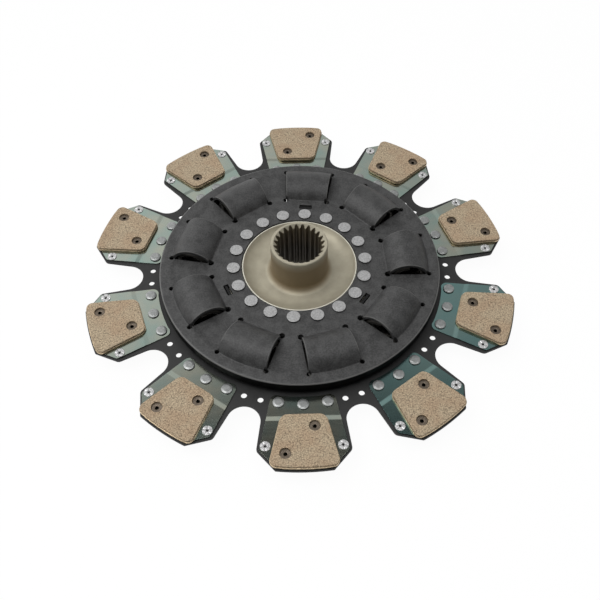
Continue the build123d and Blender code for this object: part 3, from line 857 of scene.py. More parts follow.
def hub_profile(hub, inner_face):
    """Outline of half the hub's section."""
    top = hub.collar_height
    lip_inner = hub.lip_radius - hub.lip_width
    lip_top = inner_face + hub.lip_rise
    lip_round = 0.3
    rear_dish_round = 6.0
    rear_foot_round = 5.0
    rear_edge_round = 1.2
    # The bore is cut afterwards, so the outline starts inside it
    core = hub.spline_tip - 3.0
    foot = (hub.collar_radius, hub.dish_height)
    dish = (hub.dish_turn, hub.dish_height)
    profile = [(core, -hub.boss_depth), (core, top)]
    profile += [(hub.collar_radius - hub.collar_chamfer, top)]
    profile += [(hub.collar_radius - 0.25, top - hub.collar_chamfer + 0.35)]
    profile += [(hub.collar_radius, top - hub.collar_chamfer - 0.2)]
    profile += rounded((hub.collar_radius, top), foot, dish, hub.foot_round, 10)
    inner_edge = (lip_inner, lip_top)
    outer_edge = (hub.lip_radius, lip_top)
    profile += rounded(foot, dish, inner_edge, hub.dish_round, 8)
    profile += rounded(dish, inner_edge, outer_edge, lip_round, 3)
    profile += rounded(inner_edge, outer_edge, (hub.lip_radius, inner_face), lip_round, 3)
    profile += [(hub.lip_radius, inner_face), (hub.flange_radius, inner_face)]
    profile += [(hub.flange_radius, -inner_face), (lip_inner, -inner_face)]
    rear_turn = (hub.dish_turn, -hub.rear_dish)
    rear_foot = (hub.boss_radius, -hub.rear_dish)
    rear_edge = (hub.boss_radius, -hub.boss_depth)
    profile += rounded((lip_inner, -inner_face), rear_turn, rear_foot, rear_dish_round, 6)
    profile += rounded(rear_turn, rear_foot, rear_edge, rear_foot_round, 8)
    profile += rounded(rear_foot, rear_edge, (hub.spline_tip, -hub.boss_depth), rear_edge_round, 3)
    return profile


def spline_outline(hub):
    """Outline of the bore with its rounded grooves."""
    mouth = degrees(hub.groove_half_tip / hub.spline_tip)
    floor = degrees(hub.groove_half_root / hub.spline_root)
    depth = hub.spline_root - hub.spline_tip
    half = [(0.0, mouth + 0.35), (0.07, mouth), (0.5, (mouth + floor) / 2 + 0.25)]
    half += [(0.8, floor + 0.2), (0.95, floor - 0.5), (1.0, floor - 1.3)]
    points = []
    for number in range(hub.spline_count):
        centre = hub.spline_turn + 360 * number / hub.spline_count
        points += [polar(hub.spline_tip + depth * share, centre - side) for share, side in half]
        points += [polar(hub.spline_tip + depth * share, centre + side) for share, side in reversed(half)]
    return points


def make_hub(hub, covers):
    """Shape of the hub, with a cone at both ends of its bore and its stop lugs."""
    lug_half_angle = 6.0
    lug_room = 0.5
    shape = lathe(hub_profile(hub, covers.inner_face), hub_sides)
    shape = cut(shape, block(spline_outline(hub), -hub.boss_depth - 1, hub.collar_height + 1))
    lead = hub.spline_root - hub.spline_tip + 0.2
    for height, way in ((hub.collar_height, 1), (-hub.boss_depth, -1)):
        cone = lathe([(0.0, height + way), (hub.spline_tip + lead + 1, height + way),
                      (hub.spline_tip, height - way * lead), (0.0, height - way * lead)], cone_sides)
        shape = cut(shape, cone)
    lug = arc(hub.lug_radius, -lug_half_angle, lug_half_angle, 8)
    lug += arc(hub.lip_radius, lug_half_angle, -lug_half_angle, 8)
    lugs = spaced(block(lug, lug_room - drive_half, drive_half - lug_room), hub.lug_count, covers.turn)
    return joined([shape, lugs])


def roof_section(covers, reach, drop, steps=22):
    """Section of a pocket's roof along the arm direction, as (distance, height) points."""
    radius = covers.roof_radius - drop
    level = covers.inner_face + covers.sheet - drop
    fillet = covers.foot_round
    offset = sqrt((radius + fillet) ** 2 - (level + fillet) ** 2)
    lean = degrees(atan2(offset, level + fillet))
    foot = arc(fillet, 180, 180 + lean, 6, (offset, level + fillet))
    side = [(offset, level - 2.4 + drop)] + foot
    crown = arc(radius, lean, -lean, steps)
    section = side + crown[1:-1] + mirrored(side)
    return [(reach + x, z) for x, z in section]


def slit_half(covers, springs, distance):
    """Half width of a pocket at a distance from the hub axis."""
    return covers.slit_half + covers.slit_lean * (distance - springs.reach)


def make_roof(covers, springs):
    """Solid over one spring, with soft edges at its two ends."""
    soft = covers.end_round
    ends = []
    for number in range(5):
        angle = radians(90 * number / 4)
        ends.append((soft * (1 - cos(angle)), soft * (1 - sin(angle))))
    places = [(-1.0, inset, drop) for inset, drop in ends]
    places += [(number / 6, 0.0, 0.0) for number in range(-5, 6)]
    places += [(1.0, inset, drop) for inset, drop in reversed(ends)]
    sections = []
    for share, inset, drop in places:
        row = []
        for distance, height in roof_section(covers, springs.reach, drop):
            x = share * (slit_half(covers, springs, distance) - inset)
            row.append((x, bowed(covers, springs, x, distance), height))
        sections.append(row)
    return loft(sections)


def bowed(covers, springs, x, distance):
    """Distance along the arm, drawn in so that a roof's outer foot keeps to one radius."""
    if distance < springs.reach:
        return distance
    foot = covers.roof_foot
    share = (sqrt(foot ** 2 - x ** 2) - springs.reach) / (foot - springs.reach)
    return springs.reach + (distance - springs.reach) * share


def cover_profile(covers, with_rim):
    """Outline of half a cover's section. Only the front cover has a rim and a channel."""
    top = covers.inner_face + covers.sheet
    low = covers.inner_face
    deep = covers.channel_depth if with_rim else 0.0
    slope = 5.0
    bend = 12.0
    profile = [(covers.bore, low)]
    if deep:
        profile += [(covers.channel_inner, low), (covers.channel_inner + slope, low - deep)]
        profile += [(covers.channel_outer - slope, low - deep), (covers.channel_outer, low)]
    if with_rim:
        wall = covers.radius - covers.sheet
        profile += rounded((covers.channel_outer, low), (wall, low), (wall, covers.rim_end), 1.5, 4)
        profile += [(wall, covers.rim_end + 0.3), (wall + 0.3, covers.rim_end)]
        profile += [(covers.radius - 0.4, covers.rim_end), (covers.radius, covers.rim_end + 0.4)]
    else:
        profile += rounded((covers.bore, low), (covers.radius, low), (covers.radius, top), 0.5, 2)
    profile += rounded((covers.radius, low), (covers.radius, top), (covers.bore, top), covers.edge_round, 6)
    if deep:
        corners = [(covers.radius, top), (covers.channel_outer, top)]
        corners += [(covers.channel_outer - slope, top - deep), (covers.channel_inner + slope, top - deep)]
        corners += [(covers.channel_inner, top), (covers.bore, top)]
        for before, corner, after in zip(corners, corners[1:], corners[2:]):
            profile += rounded(before, corner, after, bend, 4)
    return profile + [(covers.bore + 0.4, top), (covers.bore, top - 0.4)]


def spring_room(covers, springs):
    """Solid of the room under one roof, which opens a slit at both of its ends."""
    radius = covers.roof_radius - covers.sheet
    rows = []
    for number in range(-6, 7):
        row = []
        for offset, z in arc(radius, -90, 90, 40):
            distance = springs.reach + offset
            x = number / 6 * (slit_half(covers, springs, distance) + covers.slit_gap)
            row.append((x, bowed(covers, springs, x, distance), z))
        rows.append(row)
    return loft(rows)


def relief_holes(covers, springs):
    """Solids of the round holes at the four ends of a pocket's slits."""
    inner_offset = -21.8
    outer_offset = 19.2
    outward = 0.4
    holes = []
    for side in (-1, 1):
        for offset, radius in ((inner_offset, covers.relief_inner), (outer_offset, covers.relief_outer)):
            half = slit_half(covers, springs, springs.reach + offset)
            centre = (side * (half + outward), springs.reach + offset)
            holes.append(block(circle(radius, hole_sides, centre), 0.0, cutter_top))
    return joined(holes)


def tab_slot(covers):
    """Solid of one of the slots by the hub, with rounded corners."""
    corner = 1.0
    x = covers.slot_width / 2 - corner
    y = covers.slot_depth / 2 - corner
    slot = []
    for across, along, start in ((1, 1, 0), (1, -1, 90), (-1, -1, 180), (-1, 1, 270)):
        slot += arc(corner, start, start + 90, 4, (across * x, covers.slot_reach + along * y))
    return block(slot, 0.0, cutter_top)


def make_cover(covers, springs, with_rim):
    """Shape of a cover on the front side of the middle plane."""
    turn = covers.turn if with_rim else -covers.turn
    plate = lathe(cover_profile(covers, with_rim), cover_sides)
    plate = cut(plate, spaced(make_roof(covers, springs), springs.count, turn), "UNION")
    plate = cut(plate, spaced(spring_room(covers, springs), springs.count, turn))
    plate = cut(plate, spaced(relief_holes(covers, springs), springs.count, turn))
    if with_rim:
        plate = cut(plate, spaced(tab_slot(covers), 3, turn))
    return plate


def arm_edge(arms):
    """Outer edge of the carrier disc: its arms, with a round gap after each."""
    centre = polar(arms.gap_reach, 180 / arms.count)
    end = (arms.end_half, sqrt(arms.radius ** 2 - arms.end_half ** 2))
    shoulder = (arms.shoulder_half, arms.shoulder_reach)
    across = hypot(shoulder[0] - centre[0], shoulder[1] - centre[1])
    bearing = degrees(atan2(shoulder[0] - centre[0], shoulder[1] - centre[1]))
    start = bearing - degrees(acos(arms.gap_round / across))
    gap = arc(arms.gap_round, start + 360, 360 / arms.count - start, 28, centre)
    half = rounded(polar(arms.radius, 0), end, shoulder, 1.5, 3)
    half += rounded(end, shoulder, gap[0], arms.shoulder_round, 8)
    tip_angle = degrees(atan2(half[0][0], half[0][1]))
    tip = arc(arms.radius, -tip_angle, tip_angle, 10)
    return repeated(mirrored(half)[:-1] + tip + half[1:] + gap, arms.count)


def arm_bore(arms, covers, springs):
    """Hole in the middle of the carrier disc, with a bay round every spring."""
    room = 1.8
    reach = springs.diameter / 2 + room
    corner = (slit_half(covers, springs, springs.reach + reach) + room, springs.reach + reach)
    foot_half = slit_half(covers, springs, arms.bore) + room
    foot = (foot_half, sqrt(arms.bore ** 2 - foot_half ** 2))
    foot_angle = degrees(atan2(foot[0], foot[1]))
    bay = mirrored([corner, foot]) + [corner, foot]
    bay += arc(arms.bore, foot_angle, 360 / springs.count - foot_angle, 6)[1:-1]
    return repeated(bay, springs.count, covers.turn)


def corner_hole(rivets, angle):
    """Outline of a corner rivet's hole, with a little room round the rivet."""
    return circle(rivets.corner_bore + 0.2, hole_sides, polar(rivets.corner_reach, angle))


def arm_disc_outlines(arms, covers, springs, rivets):
    """Outer edge of the carrier disc, its hole in the middle and its small holes."""
    outlines = [arm_edge(arms), arm_bore(arms, covers, springs)]
    for number in range(arms.count):
        for side in (-1, 1):
            angle = (number + 0.5) * 360 / arms.count + side * arms.hole_angle
            outlines.append(circle(arms.hole_radius, hole_sides, polar(arms.hole_reach, angle)))
            angle = number * 360 / arms.count + side * rivets.corner_angle
            outlines.append(corner_hole(rivets, angle))
    return outlines


def make_plate(plates, rivets, arm_top):
    """Shape of the first arm's front cushion plate."""
    outer = (plates.outer_half, sqrt(plates.outer ** 2 - plates.outer_half ** 2))
    shoulder = (plates.shoulder_half, plates.shoulder_reach)
    foot = (plates.inner_half, sqrt(plates.inner ** 2 - plates.inner_half ** 2))
    half = rounded((0, plates.outer), outer, shoulder, 2.0, 4)
    half += rounded(outer, shoulder, foot, plates.shoulder_round, 6)
    half += rounded(shoulder, foot, polar(plates.inner, 0), plates.inner_round, 8)
    bow = degrees(atan2(half[-1][0], half[-1][1]))
    edge = arc(plates.inner, bow, -bow, 16)[1:-1]
    outlines = [mirrored(half) + half + edge]
    for side in (-1, 1):
        outlines.append(corner_hole(rivets, side * rivets.corner_angle))
    soft_edge = 0.04
    shape = sheet(outlines, arm_top, arm_top + plates.sheet, soft_edge)
    # The crank eases in and out over this share of its length, and is cut into strips there
    soft = 0.24
    span = plates.crank_end - plates.crank_start
    for share in (0.0, soft / 2, soft, 1 - soft, 1 - soft / 2, 1.0):
        line = plates.crank_start + span * share
        bmesh.ops.bisect_plane(shape, geom=shape.verts[:] + shape.edges[:] + shape.faces[:],
                               plane_co=(0, line, 0), plane_no=(0, 1, 0), dist=0.001)
    for corner in shape.verts:
        share = min(max((corner.co.y - plates.crank_start) / span, 0.0), 1.0)
        corner.co.z += plates.crank * eased(share, soft)
    return shape


def eased(share, soft):
    """Straight rise from 0 to 1 with a soft start and end."""
    steep = 1 / (1 - soft)
    if share < soft:
        return steep * share * share / (2 * soft)
    if share > 1 - soft:
        return 1 - steep * (1 - share) ** 2 / (2 * soft)
    return steep * (share - soft / 2)


def pad_outline(pads, inset):
    """Outline of a pad, drawn in by a distance all round."""
    foot = (pads.inner_half, pads.inner)
    corner = (pads.outer_half, sqrt(pads.outer ** 2 - pads.outer_half ** 2))
    lean = atan2(corner[0] - foot[0], corner[1] - foot[1])
    foot = (foot[0] - inset / cos(lean) + inset * tan(lean), foot[1] + inset)
    outer = pads.outer - inset
    side = corner[0] - inset / cos(lean)
    corner = (side, sqrt(outer ** 2 - side ** 2))
    half = rounded((0.0, outer), corner, foot, pads.outer_round - inset, 8)
    half += rounded(corner, foot, (0.0, foot[1]), pads.inner_round - inset, 8)
    crown = degrees(atan2(half[0][0], half[0][1]))
    drop = (outer - hypot(*half[0])) / 2
    tip = [(x, y - drop) for x, y in arc(outer, -crown, crown, 8)[1:-1]]
    return mirrored(half) + tip + half


def rivet_places(pads):
    """Places of a pad's two rivets, across and along the first arm."""
    return ((pads.inner_hole_side, pads.inner_hole), (pads.outer_hole_side, pads.outer_hole))


def turned_over(shape, arm_middle, inset=0.0):
    """The shape on the rear side of an arm, drawn in towards the hub by the inset."""
    flip = Matrix.Translation((0, -inset, 2 * arm_middle)) @ Matrix.Rotation(pi, 4, "Y")
    return moved(shape, flip)


def placed(shape, x, y):
    """The shape moved across and along the first arm."""
    return moved(shape, Matrix.Translation((x, y, 0)))


def both_ends(head, top, bottom):
    """Outline of a rivet with the same head at both of its ends."""
    return [(r, top + z) for r, z in head] + [(r, bottom - z) for r, z in reversed(head)]


def flat_rivet(radius, rise, top, bottom):
    """Rivet with flat heads, a soft edge and a faint ring where the tool pressed it."""
    head = [(0.0, rise), (radius * 0.58, rise), (radius * 0.62, rise - 0.14), (radius * 0.66, rise)]
    head += rounded((0.0, rise), (radius - 0.1, rise), (radius, 0.0), 0.35, 3)
    head += [(radius, 0.25), (radius - 0.1, 0.0)]
    return lathe(both_ends(head, top, bottom), rivet_sides)


def domed_rivet(radius, rise, top, bottom):
    """Rivet with heads that are flat in the middle and slope to a low edge."""
    crown = (radius * 0.62, rise)
    edge = (radius - 0.2, rise * 0.74)
    head = [(0.0, rise), (radius * 0.5, rise)]
    head += rounded((0.0, rise), crown, edge, 1.2, 3)
    head += rounded(crown, edge, (radius, 0.0), 0.5, 4)
    head += [(radius, 0.3), (radius - 0.15, 0.0)]
    return lathe(both_ends(head, top, bottom), dome_sides)


def tubular_rivet(radius, rise, top, bottom, hole, shank):
    """Rivet with a rolled edge at the top and a hollow that ends near its bottom."""
    floor = bottom + 0.2 - top
    head = [(0.0, floor), (hole, floor), (hole, rise * 0.35), (hole + 0.6, rise)]
    head += rounded((hole + 0.6, rise), (radius, rise), (radius, 0.0), min(0.5, rise / 2), 5)
    head += [(radius, 0.0), (shank, 0.0)]
    profile = [(r, top + z) for r, z in head]
    profile += [(shank, bottom), (0.0, bottom)]
    return lathe(profile, tube_sides)


def flared_rivet(radius, rise, top, bottom, bore, petals):
    """Hollow rivet with both ends rolled outwards and split into petals."""
    head = [(bore, -0.6), (bore + 0.1, rise * 0.3), (bore + 0.7, rise * 0.9), (bore + 1.3, rise)]
    head += rounded((bore + 1.3, rise), (radius, rise * 0.8), (radius, 0.0), 0.4, 4)
    head += [(radius, 0.0)]
    hollow = 0.8
    profile = [(0.0, top - hollow)] + both_ends(head, top, bottom) + [(0.0, bottom + hollow)]
    shape = lathe(profile, rivet_sides)
    for corner in shape.verts:
        reach = hypot(corner.co.x, corner.co.y)
        outward = 1 if corner.co.z > (top + bottom) / 2 else -1
        lift = outward * (corner.co.z - (top if outward > 0 else bottom))
        if lift > 0.05 and reach < radius - 0.3:
            split = max(0.0, cos(petals * atan2(corner.co.x, corner.co.y))) ** 3
            corner.co.z -= outward * 0.55 * split * lift
            corner.co.x *= 1 + 0.12 * split
            corner.co.y *= 1 + 0.12 * split
    return shape


def make_spring(springs, covers):
    """Shape of the first spring: round wire with a flat half turn at both ends."""
    coil = (springs.diameter - springs.wire) / 2 - springs.slack
    travel = 2 * (slit_half(covers, springs, springs.reach - coil) - springs.seat) - springs.wire
    per_turn = 30
    steps = round(springs.turns * per_turn)
    flat = per_turn // 2
    path = []
    for number in range(steps + 1):
        y, z = polar(coil, 360 * number / per_turn - 180)
        share = min(max((number - flat) / (steps - 2 * flat), 0.0), 1.0)
        path.append(Vector((travel * (share - 0.5), springs.reach + y, z)))
    sections = []
    for number, point in enumerate(path):
        ahead = path[min(number + 1, steps)] - path[max(number - 1, 0)]
        ahead.normalize()
        out = (point - Vector((point.x, springs.reach, 0))).normalized()
        out = (out - ahead * out.dot(ahead)).normalized()
        across = ahead.cross(out)
        row = []
        for side in range(wire_sides):
            turn = 2 * pi * side / wire_sides
            row.append(tuple(point + (out * cos(turn) + across * sin(turn)) * springs.wire / 2))
        sections.append(row)
    return loft(sections)


# Operators

class ClutchOperator:
    """What the operators share."""
    bl_options = {"REGISTER"}

    def sizes(self, context):
        """All settings, read once."""
        scene = context.scene
        self.hub = read(scene.clutch_hub)
        self.covers = read(scene.clutch_covers)
        self.springs = read(scene.clutch_springs)
        self.arms = read(scene.clutch_arms)
        self.plates = read(scene.clutch_plates)
        self.pads = read(scene.clutch_pads)
        self.rivets = read(scene.clutch_rivets)
        self.finish = scene.clutch_finish
        self.arm_top = -drive_half
        self.arm_bottom = self.arm_top - self.arms.sheet
        self.arm_middle = (self.arm_top + self.arm_bottom) / 2
        self.plate_top = self.arm_top + self.plates.crank + self.plates.sheet


class CLUTCH_OT_hub(ClutchOperator, bpy.types.Operator):
    """Make the splined hub"""
    bl_idname = "clutch.hub"
    bl_label = "Hub"

    def execute(self, context):
        self.sizes(context)
        shape = make_hub(self.hub, self.covers)
        piece("splined_hub", shape, passivated_hub(self.finish, self.hub), "hub_side", ["hub"])
        return {"FINISHED"}


class CLUTCH_OT_covers(ClutchOperator, bpy.types.Operator):
    """Make the front and rear covers"""
    bl_idname = "clutch.covers"
    bl_label = "Covers"

    def execute(self, context):
        self.sizes(context)
        material = phosphated_steel(self.finish, self.covers, self.springs)
        front = make_cover(self.covers, self.springs, True)
        piece("pressed_front_cover", front, material, "hub_side", ["front_cover"])
        rear = moved(make_cover(self.covers, self.springs, False), Matrix.Rotation(pi, 4, "Y"))
        piece("pressed_rear_cover", rear, material, "hub_side", ["rear_cover"])
        return {"FINISHED"}


class CLUTCH_OT_arm_disc(ClutchOperator, bpy.types.Operator):
    """Make the carrier disc with its arms"""
    bl_idname = "clutch.arm_disc"
    bl_label = "Carrier disc"

    def execute(self, context):
        self.sizes(context)
        outlines = arm_disc_outlines(self.arms, self.covers, self.springs, self.rivets)
        soft_edge = 0.2
        shape = sheet(outlines, self.arm_bottom, self.arm_top, soft_edge)
        piece("carrier_disc", shape, blackened_steel(self.finish), "arm_side", ["paddle_disc"])
        return {"FINISHED"}


class CLUTCH_OT_plates(ClutchOperator, bpy.types.Operator):
    """Make the cushion plates on both sides of the arms"""
    bl_idname = "clutch.plates"
    bl_label = "Cushion plates"

    def execute(self, context):
        self.sizes(context)
        count = self.arms.count
        material = passivated_plate(self.finish, self.plates)
        front = make_plate(self.plates, self.rivets, self.arm_top)
        rear = turned_over(front.copy(), self.arm_middle)
        for label, shape in (("front", front), ("rear", rear)):
            ring_piece(f"{label}_cushion_plates", shape, count, 0, material, "arm_side",
                       numbered(f"{label}_plate", count))
        return {"FINISHED"}


class CLUTCH_OT_pads(ClutchOperator, bpy.types.Operator):
    """Make the pads: a metal backing and a sintered lining on both sides of the arms"""
    bl_idname = "clutch.pads"
    bl_label = "Pads"

    def execute(self, context):
        self.sizes(context)
        pads = self.pads
        count = self.arms.count
        start = self.plate_top + pads.backing
        backing_bore = 3.0
        backing_edge = 0.35
        lining_edge = 0.45
        backing_outlines = [pad_outline(pads, 0.0)]
        lining_outlines = [pad_outline(pads, pads.ledge)]
        for place in rivet_places(pads):
            backing_outlines.append(circle(backing_bore, backing_bore_sides, place))
            lining_outlines.append(circle(pads.hole_radius, counterbore_sides, place))
        backing = sheet(backing_outlines, self.plate_top, start, backing_edge)
        lining = sheet(lining_outlines, start, start + pads.lining, lining_edge)
        rear_backing = turned_over(backing.copy(), self.arm_middle, pads.rear_inset)
        rear_lining = turned_over(lining.copy(), self.arm_middle, pads.rear_inset)
        # A smooth brassy edge that shows as a pale line under the grainy lining
        metal = clouded_metal("copper-plated rolled backing steel", self.finish.backing, 0.38, 6.0, 1.0)
        sinter = sintered_lining(self.finish)
        for label, layers in (("front", (backing, lining)), ("rear", (rear_backing, rear_lining))):
            nodes = numbered(f"{label}_pad", count)
            ring_piece(f"{label}_pad_backings", layers[0], count, 0, metal, "arm_side", nodes)
            ring_piece(f"{label}_pad_linings", layers[1], count, 0, sinter, "arm_side", nodes)
        return {"FINISHED"}


class CLUTCH_OT_hub_rivets(ClutchOperator, bpy.types.Operator):
    """Make the rivets that close the covers on the hub"""
    bl_idname = "clutch.hub_rivets"
    bl_label = "Hub rivets"

    def execute(self, context):
        self.sizes(context)
        rivets = self.rivets
        face = self.covers.inner_face + self.covers.sheet
        shape = placed(flat_rivet(rivets.hub_head, rivets.hub_rise, face, -face), 0, rivets.hub_reach)
        # Pale even discs against the dark covers, with a faint grain from the press, and painted shade on the
        # sides of their heads
        material = clouded_metal("plated and pressed rivet steel", self.finish.pale, 0.42, 1.6, 0.5,
                                 0.0, face + rivets.hub_rise - 0.4)
        ring_piece("cover_rivets", shape, rivets.hub_count, self.covers.turn, material, "hub_side",
                   ["hub_rivets"])
        return {"FINISHED"}


class CLUTCH_OT_arm_rivets(ClutchOperator, bpy.types.Operator):
    """Make the rivets of the arms: three domed ones and two tubular ones on each"""
    bl_idname = "clutch.arm_rivets"
    bl_label = "Arm rivets"

    def execute(self, context):
        self.sizes(context)
        rivets = self.rivets
        pads = self.pads
        count = self.arms.count
        top = self.arm_top + self.plates.sheet
        bottom = self.arm_bottom - self.plates.sheet
        # Small mirrors that take on the light and dark of the plates round them, with painted shade round the
        # foot of each head
        zinc = clouded_metal("bright zinc-plated rivet steel", self.finish.zinc, 0.34, 2.0, 0.75,
                             self.arm_middle, top - self.arm_middle + 0.5)
        # Paler than the others where the hollow ends are crushed, with painted shade in the hollow in the
        # middle
        flared = clouded_metal("flared zinc-plated rivet steel", self.finish.flared, 0.28, 2.0, 0.5,
                               self.arm_middle, self.plate_top - self.arm_middle - 0.1)
        shapes = []
        for angle, reach in ((-rivets.arm_angle, rivets.arm_side_reach), (0, rivets.arm_middle_reach),
                             (rivets.arm_angle, rivets.arm_side_reach)):
            rivet = domed_rivet(rivets.arm_head, rivets.arm_rise, top, bottom)
            shapes.append(placed(rivet, *polar(reach, angle)))
        ring_piece("arm_rivets", joined(shapes), count, 0, zinc, "arm_side")
        shapes = []
        lift = self.plates.crank
        for angle in (-rivets.corner_angle, rivets.corner_angle):
            rivet = flared_rivet(rivets.corner_head, rivets.corner_rise, top + lift, bottom - lift,
                                 rivets.corner_bore, 5)
            shapes.append(placed(rivet, *polar(rivets.corner_reach, angle)))
        ring_piece("corner_rivets", joined(shapes), count, 0, flared, "arm_side")

        tube_head = 5.0
        tube_rise = 0.5
        tube_hollow = 1.8
        tube_shank = 2.9
        level = self.plate_top + pads.backing
        # Dull brown rings, with painted shade in their hollows
        brown = clouded_metal("browned tubular rivet steel", self.finish.tube, 0.42, 2.0, 1.0,
                              self.arm_middle, level - self.arm_middle - 0.1)
        for label in ("front", "rear"):
            shapes = []
            for place in rivet_places(pads):
                rivet = tubular_rivet(tube_head, tube_rise, level, self.plate_top, tube_hollow, tube_shank)
                shapes.append(placed(rivet, *place))
            shape = joined(shapes)
            if label == "rear":
                shape = turned_over(shape, self.arm_middle, pads.rear_inset)
            ring_piece(f"{label}_pad_rivets", shape, count, 0, brown, "arm_side")
        return {"FINISHED"}


class CLUTCH_OT_springs(ClutchOperator, bpy.types.Operator):
    """Make the damper springs"""
    bl_idname = "clutch.springs"
    bl_label = "Springs"

    def execute(self, context):
        self.sizes(context)
        # Dark wire with an oily gloss, lost in the shade of the pockets
        material = clouded_metal("oiled and wound spring steel", self.finish.spring, 0.45, 4.0, 1.0)
        for number in range(self.springs.count):
            angle = self.covers.turn + 360 * number / self.springs.count
            shape = moved(make_spring(self.springs, self.covers), turn_matrix(angle))
            item = piece(f"damper_spring_{number + 1}", shape, material, "spring_set",
                         ["springs"])
            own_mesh(item)
        return {"FINISHED"}


class CLUTCH_OT_inner_parts(ClutchOperator, bpy.types.Operator):
    """Give the plates and rings inside the damper their finish"""
    bl_idname = "clutch.inner_parts"
    bl_label = "Inner parts"

    def execute(self, context):
        self.sizes(context)
        # Oiled steel, painted near black as shade, so that the slits and holes look empty
        steel = clouded_metal("oiled and hardened plate steel", self.finish.inside, 0.5, 8.0, 0.6)
        # Dull brown, without gloss
        lining = clouded_metal("pressed friction lining", self.finish.friction, 0.7, 2.0, 0.0)
        # Grey heads, seen only through the slits
        zinc = clouded_metal("zinc-plated drive rivet steel", self.finish.zinc, 0.35, 2.0, 1.0)
        finishes = {"drive_plate": steel, "pressure_ring": steel, "disc_spring": steel,
                    "front_friction_ring": lining, "rear_friction_ring": lining, "drive_rivets": zinc}
        for name, material in finishes.items():
            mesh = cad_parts[name].data
            mesh.materials.clear()
            mesh.materials.append(material)
        return {"FINISHED"}


class CLUTCH_OT_stage(ClutchOperator, bpy.types.Operator):
    """Make the floor, the lights and the camera"""
    bl_idname = "clutch.stage"
    bl_label = "Stage"

    def execute(self, context):
        self.sizes(context)
        make_floor(self.finish)
        make_lights(context.scene)
        make_camera(context.scene)
        context.scene.view_settings.view_transform = "Standard"
        return {"FINISHED"}


def make_floor(finish):
    """Pale floor, white to the camera except for a trace of the object's shadow."""
    shape = bmesh.new()
    bmesh.ops.create_grid(shape, x_segments=1, y_segments=1, size=6.0)
    mesh = bpy.data.meshes.new("floor")
    shape.to_mesh(mesh)
    shape.free()
    floor = bpy.data.objects.new("floor", mesh)
    bpy.context.scene.collection.objects.link(floor)
    material = bpy.data.materials.new("pale studio floor")
    tree = empty_tree(material)
    matt = add_node(tree, "ShaderNodeBsdfDiffuse", {"Color": tuple(finish.floor)})
    white = add_node(tree, "ShaderNodeEmission", {"Color": (1, 1, 1, 1), "Strength": 1.0})
    light = add_node(tree, "ShaderNodeLightPath")
    seen = light.outputs["Is Camera Ray"]
    for ray in ("Is Glossy Ray", "Is Transmission Ray"):
        either = add_node(tree, "ShaderNodeMath", {0: seen, 1: light.outputs[ray]}, operation="MAXIMUM")
        seen = either.outputs[0]
    share = add_node(tree, "ShaderNodeMath", {0: seen, 1: 0.96}, operation="MULTIPLY")
    mix = add_node(tree, "ShaderNodeMixShader", {
        0: share.outputs[0], 1: matt.outputs[0], 2: white.outputs[0]})
    add_node(tree, "ShaderNodeOutputMaterial", {"Surface": mix.outputs[0]})
    mesh.materials.append(material)


def make_lights(scene):
    """Sky that is pale low behind the disc and dim overhead, and two soft lamps."""
    world = bpy.data.worlds.new("studio")
    scene.world = world
    tree = empty_tree(world)
    place = add_node(tree, "ShaderNodeTexCoord").outputs["Generated"]
    way = add_node(tree, "ShaderNodeSeparateXYZ", {0: place})
    upper = add_node(tree, "ShaderNodeMapRange", {
        "Value": way.outputs["Z"], "From Min": 0.82, "From Max": 0.88, "To Min": 1.0, "To Max": 0.045})
    side = add_node(tree, "ShaderNodeMapRange", {
        "Value": way.outputs["X"], "From Min": -0.3, "From Max": 0.3, "To Min": 1.4, "To Max": 0.6})
    front = add_node(tree, "ShaderNodeMapRange", {
        "Value": way.outputs["Y"], "From Min": -0.3, "From Max": 0.3, "To Min": 0.15, "To Max": 1.0})
    level = upper.outputs[0]
    for change in (side, front):
        product = add_node(tree, "ShaderNodeMath", {0: level, 1: change.outputs[0]}, operation="MULTIPLY")
        level = product.outputs[0]
    sky = add_node(tree, "ShaderNodeBackground", {"Color": (1, 1, 1, 1), "Strength": level})
    add_node(tree, "ShaderNodeOutputWorld", {"Surface": sky.outputs[0]})
    lamps = (
        ("key", (-0.75, -0.15, 1.5), 1.1, 17.0),
        ("fill", (0.5, -0.15, 1.7), 1.0, 8.5),
    )
    for name, place, size, power in lamps:
        lamp = bpy.data.lights.new(name, "AREA")
        lamp.size = size
        lamp.energy = power
        holder = bpy.data.objects.new(name, lamp)
        holder.location = place
        holder.rotation_euler = (-Vector(place)).to_track_quat("-Z", "Y").to_euler()
        scene.collection.objects.link(holder)


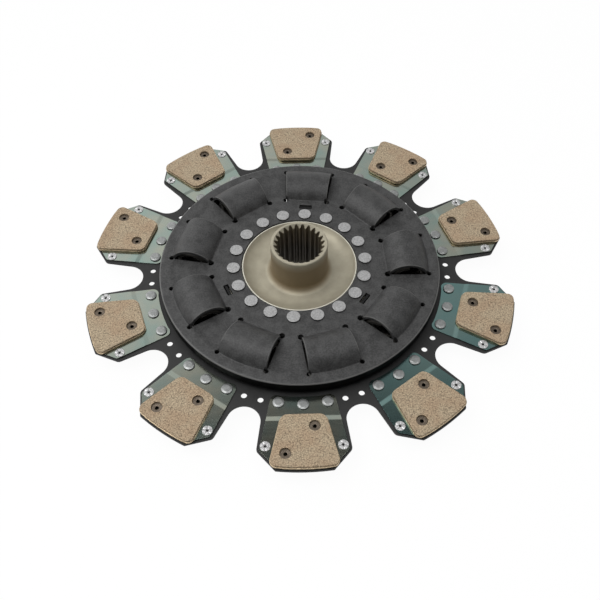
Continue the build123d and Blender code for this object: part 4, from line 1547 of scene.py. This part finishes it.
def make_camera(scene):
    """Camera at the photograph's place and angle."""
    lens = bpy.data.cameras.new("camera")
    lens.lens = 47.216
    lens.sensor_width = 36.0
    lens.clip_start = 0.01
    holder = bpy.data.objects.new("camera", lens)
    right = Vector((0.9997227, -0.0221105, -0.0081065))
    up = Vector((0.0226105, 0.8049401, 0.5929251))
    back = Vector((-0.0065847, -0.5929438, 0.8052168))
    turn = Matrix((right, up, back)).transposed().to_4x4()
    holder.matrix_world = Matrix.Translation((-0.005405, -0.496778, 0.648414)) @ turn
    scene.collection.objects.link(holder)
    scene.camera = holder


class CLUTCH_PT_panel(bpy.types.Panel):
    """Steps that make the clutch disc"""
    bl_idname = "CLUTCH_PT_panel"
    bl_label = "Clutch disc"
    bl_space_type = "VIEW_3D"
    bl_region_type = "UI"
    bl_category = "Clutch disc"

    def draw(self, context):
        for operator in operators:
            self.layout.operator(operator.bl_idname)


groups = {
    "clutch_hub": ClutchHub,
    "clutch_covers": ClutchCovers,
    "clutch_springs": ClutchSprings,
    "clutch_arms": ClutchArms,
    "clutch_plates": ClutchPlates,
    "clutch_pads": ClutchPads,
    "clutch_rivets": ClutchRivets,
    "clutch_finish": ClutchFinish,
}

operators = (
    CLUTCH_OT_hub,
    CLUTCH_OT_covers,
    CLUTCH_OT_arm_disc,
    CLUTCH_OT_plates,
    CLUTCH_OT_pads,
    CLUTCH_OT_hub_rivets,
    CLUTCH_OT_arm_rivets,
    CLUTCH_OT_springs,
    CLUTCH_OT_inner_parts,
    CLUTCH_OT_stage,
)


def register():
    for name, group in groups.items():
        bpy.utils.register_class(group)
        setattr(bpy.types.Scene, name, PointerProperty(type=group))
    for operator in operators:
        bpy.utils.register_class(operator)
    bpy.utils.register_class(CLUTCH_PT_panel)


def unregister():
    bpy.utils.unregister_class(CLUTCH_PT_panel)
    for operator in reversed(operators):
        bpy.utils.unregister_class(operator)
    for name, group in groups.items():
        delattr(bpy.types.Scene, name)
        bpy.utils.unregister_class(group)


def main():
    """Makes every piece in order."""
    register()
    bpy.ops.clutch.hub()
    bpy.ops.clutch.covers()
    bpy.ops.clutch.arm_disc()
    bpy.ops.clutch.plates()
    bpy.ops.clutch.pads()
    bpy.ops.clutch.hub_rivets()
    bpy.ops.clutch.arm_rivets()
    bpy.ops.clutch.springs()
    bpy.ops.clutch.inner_parts()
    bpy.ops.clutch.stage()


if __name__ == "__main__":
    main()
